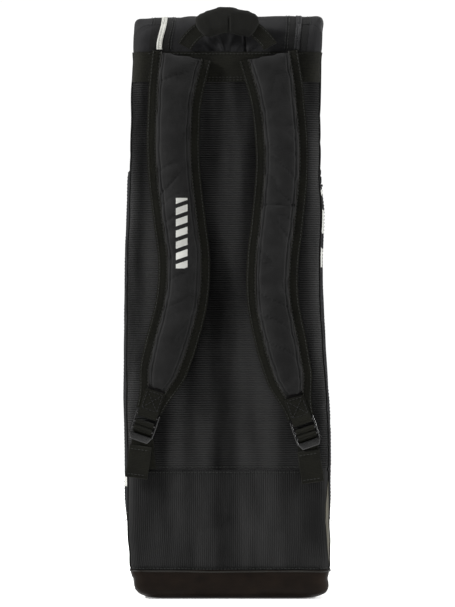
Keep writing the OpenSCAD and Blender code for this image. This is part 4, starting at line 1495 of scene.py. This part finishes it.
    # Anchor webbing from the foot seam up behind the buckle.
    foot, head = (np.array([q[0], -0.16595, q[1]]) for q in FEET[name])
    k = np.linspace(0, 1, 20)[:, None]
    path = foot * (1 - k) + head * k
    shell = swept(path, each(path, ACROSS), each(path, TO_STRAPS),
                  *oblong(0.0248, 0.0015, 24, 0.25))
    build(f"{name}_foot_webbing", [shell], WEBBING, ("core", body, tuple(foot), tuple(head)),
          f"{name}_anchor_webbing")


# ---------------------------------------------------------------- handles

angle = np.radians(np.linspace(-60.5, 60.5, 90))
path = arch_point(angle, 0.064, 0.0)
radial = np.stack([np.sin(angle), 0 * angle, np.cos(angle)], -1)
shell = swept(path, radial, each(path, TO_STRAPS), *oblong(0.0196, 0.0023, 24, 0.25))
build("top_handle_webbing", [shell], WEBBING, "top_handle", "top_handle_web")
threads = []
for edge in (-0.0078, 0.0078):
    q = arch_point(angle, 0.064 + edge, -0.00135)
    threads.append(stitches(q, each(q, TO_STRAPS)))
build("top_handle_stitching", threads, THREAD, "top_handle", ())

path, wide, inner = folded(
    [(166.6, 300), (166.6, 315), (166.7, 325), (168.2, 331), (172.5, 339), (177, 347.5),
     (178.4, 354), (178.5, 365), (178.5, 410), (178.5, 455), (178.4, 466), (177, 472.5),
     (172.5, 481), (168.2, 489), (166.7, 495), (166.6, 505), (166.6, 520)])
shell = swept(path, wide, -inner, *oblong(0.0278, 0.0026, 24, 0.25))
build("front_handle_webbing", [shell], WEBBING, "core", "front_handle_web")
threads = [stitches(q, each(q, TO_FAR_SIDE)) for z0, z1 in ((303, 322), (498, 517))
           for q in crossed_box(11, z0, z1, 168.0)]
build("front_handle_stitching", threads, THREAD, "core", ())


# ---------------------------------------------------------------- studio

floor_mesh = bpy.data.meshes.new("studio_floor")
floor_mesh.from_pydata([(-3, -3, 0), (3, -3, 0), (3, 3, 0), (-3, 3, 0)], [], [(0, 1, 2, 3)])
floor = in_scene("studio_floor", floor_mesh)
# Matt painted board, nearly white.
paint, tree, bsdf = blank("matt_white_board", 0.9, specular=0.1)
bsdf.inputs["Base Color"].default_value = linear("#f4f4f3")
bsdf.inputs["Emission Color"].default_value = (1, 1, 1, 1)
bsdf.inputs["Emission Strength"].default_value = 0.32
floor_mesh.materials.append(paint)

world = bpy.data.worlds.new("studio")
bpy.context.scene.world = world
world.use_nodes = True
tree = world.node_tree
tree.nodes.clear()
path_kind = add(tree, "ShaderNodeLightPath")[0]
strength = add(tree, "ShaderNodeMix", {0: path_kind, 2: 0.15, 3: 1.05}, data_type="FLOAT")[0]
sky = add(tree, "ShaderNodeBackground", {"Color": (1, 1, 1, 1), "Strength": strength})[0]
out = tree.nodes.new("ShaderNodeOutputWorld")
tree.links.new(sky, out.inputs[0])


def soft_light(name, place, aim, size, power):
    """Square area lamp turned from its place towards an aim point."""
    lamp = bpy.data.lights.new(name, "AREA")
    lamp.size, lamp.energy = size, power
    made = in_scene(name, lamp)
    made.location = place
    made.rotation_euler = (Vector(aim) - Vector(place)).to_track_quat("-Z", "Y").to_euler()


soft_light("left_bank", (-2.6, -0.85, 2.1), (0, 0, 0.4), 0.6, 230)
soft_light("right_bank", (2.8, -0.45, 1.3), (0, 0, 0.4), 0.8, 120)
soft_light("front_bank", (-0.8, -3.4, 2.4), (0, 0, 0.4), 1.2, 7)
soft_light("far_bank", (1.6, 3.0, 1.8), (0, 0, 0.4), 1.4, 75)
soft_light("crown", (0.2, 0.4, 2.8), (0, 0, 0.5), 1.4, 30)
bpy.context.scene.view_settings.view_transform = "Standard"

camera_data = bpy.data.cameras.new("camera")
camera_data.sensor_fit = "VERTICAL"
camera_data.angle = 2 * math.atan(0.3936 / 3.835)
camera = in_scene("camera", camera_data)
camera.location = (0.0002, -4.0, 0.3846)
camera.rotation_euler = (PI / 2, 0, 0)
bpy.context.scene.camera = camera
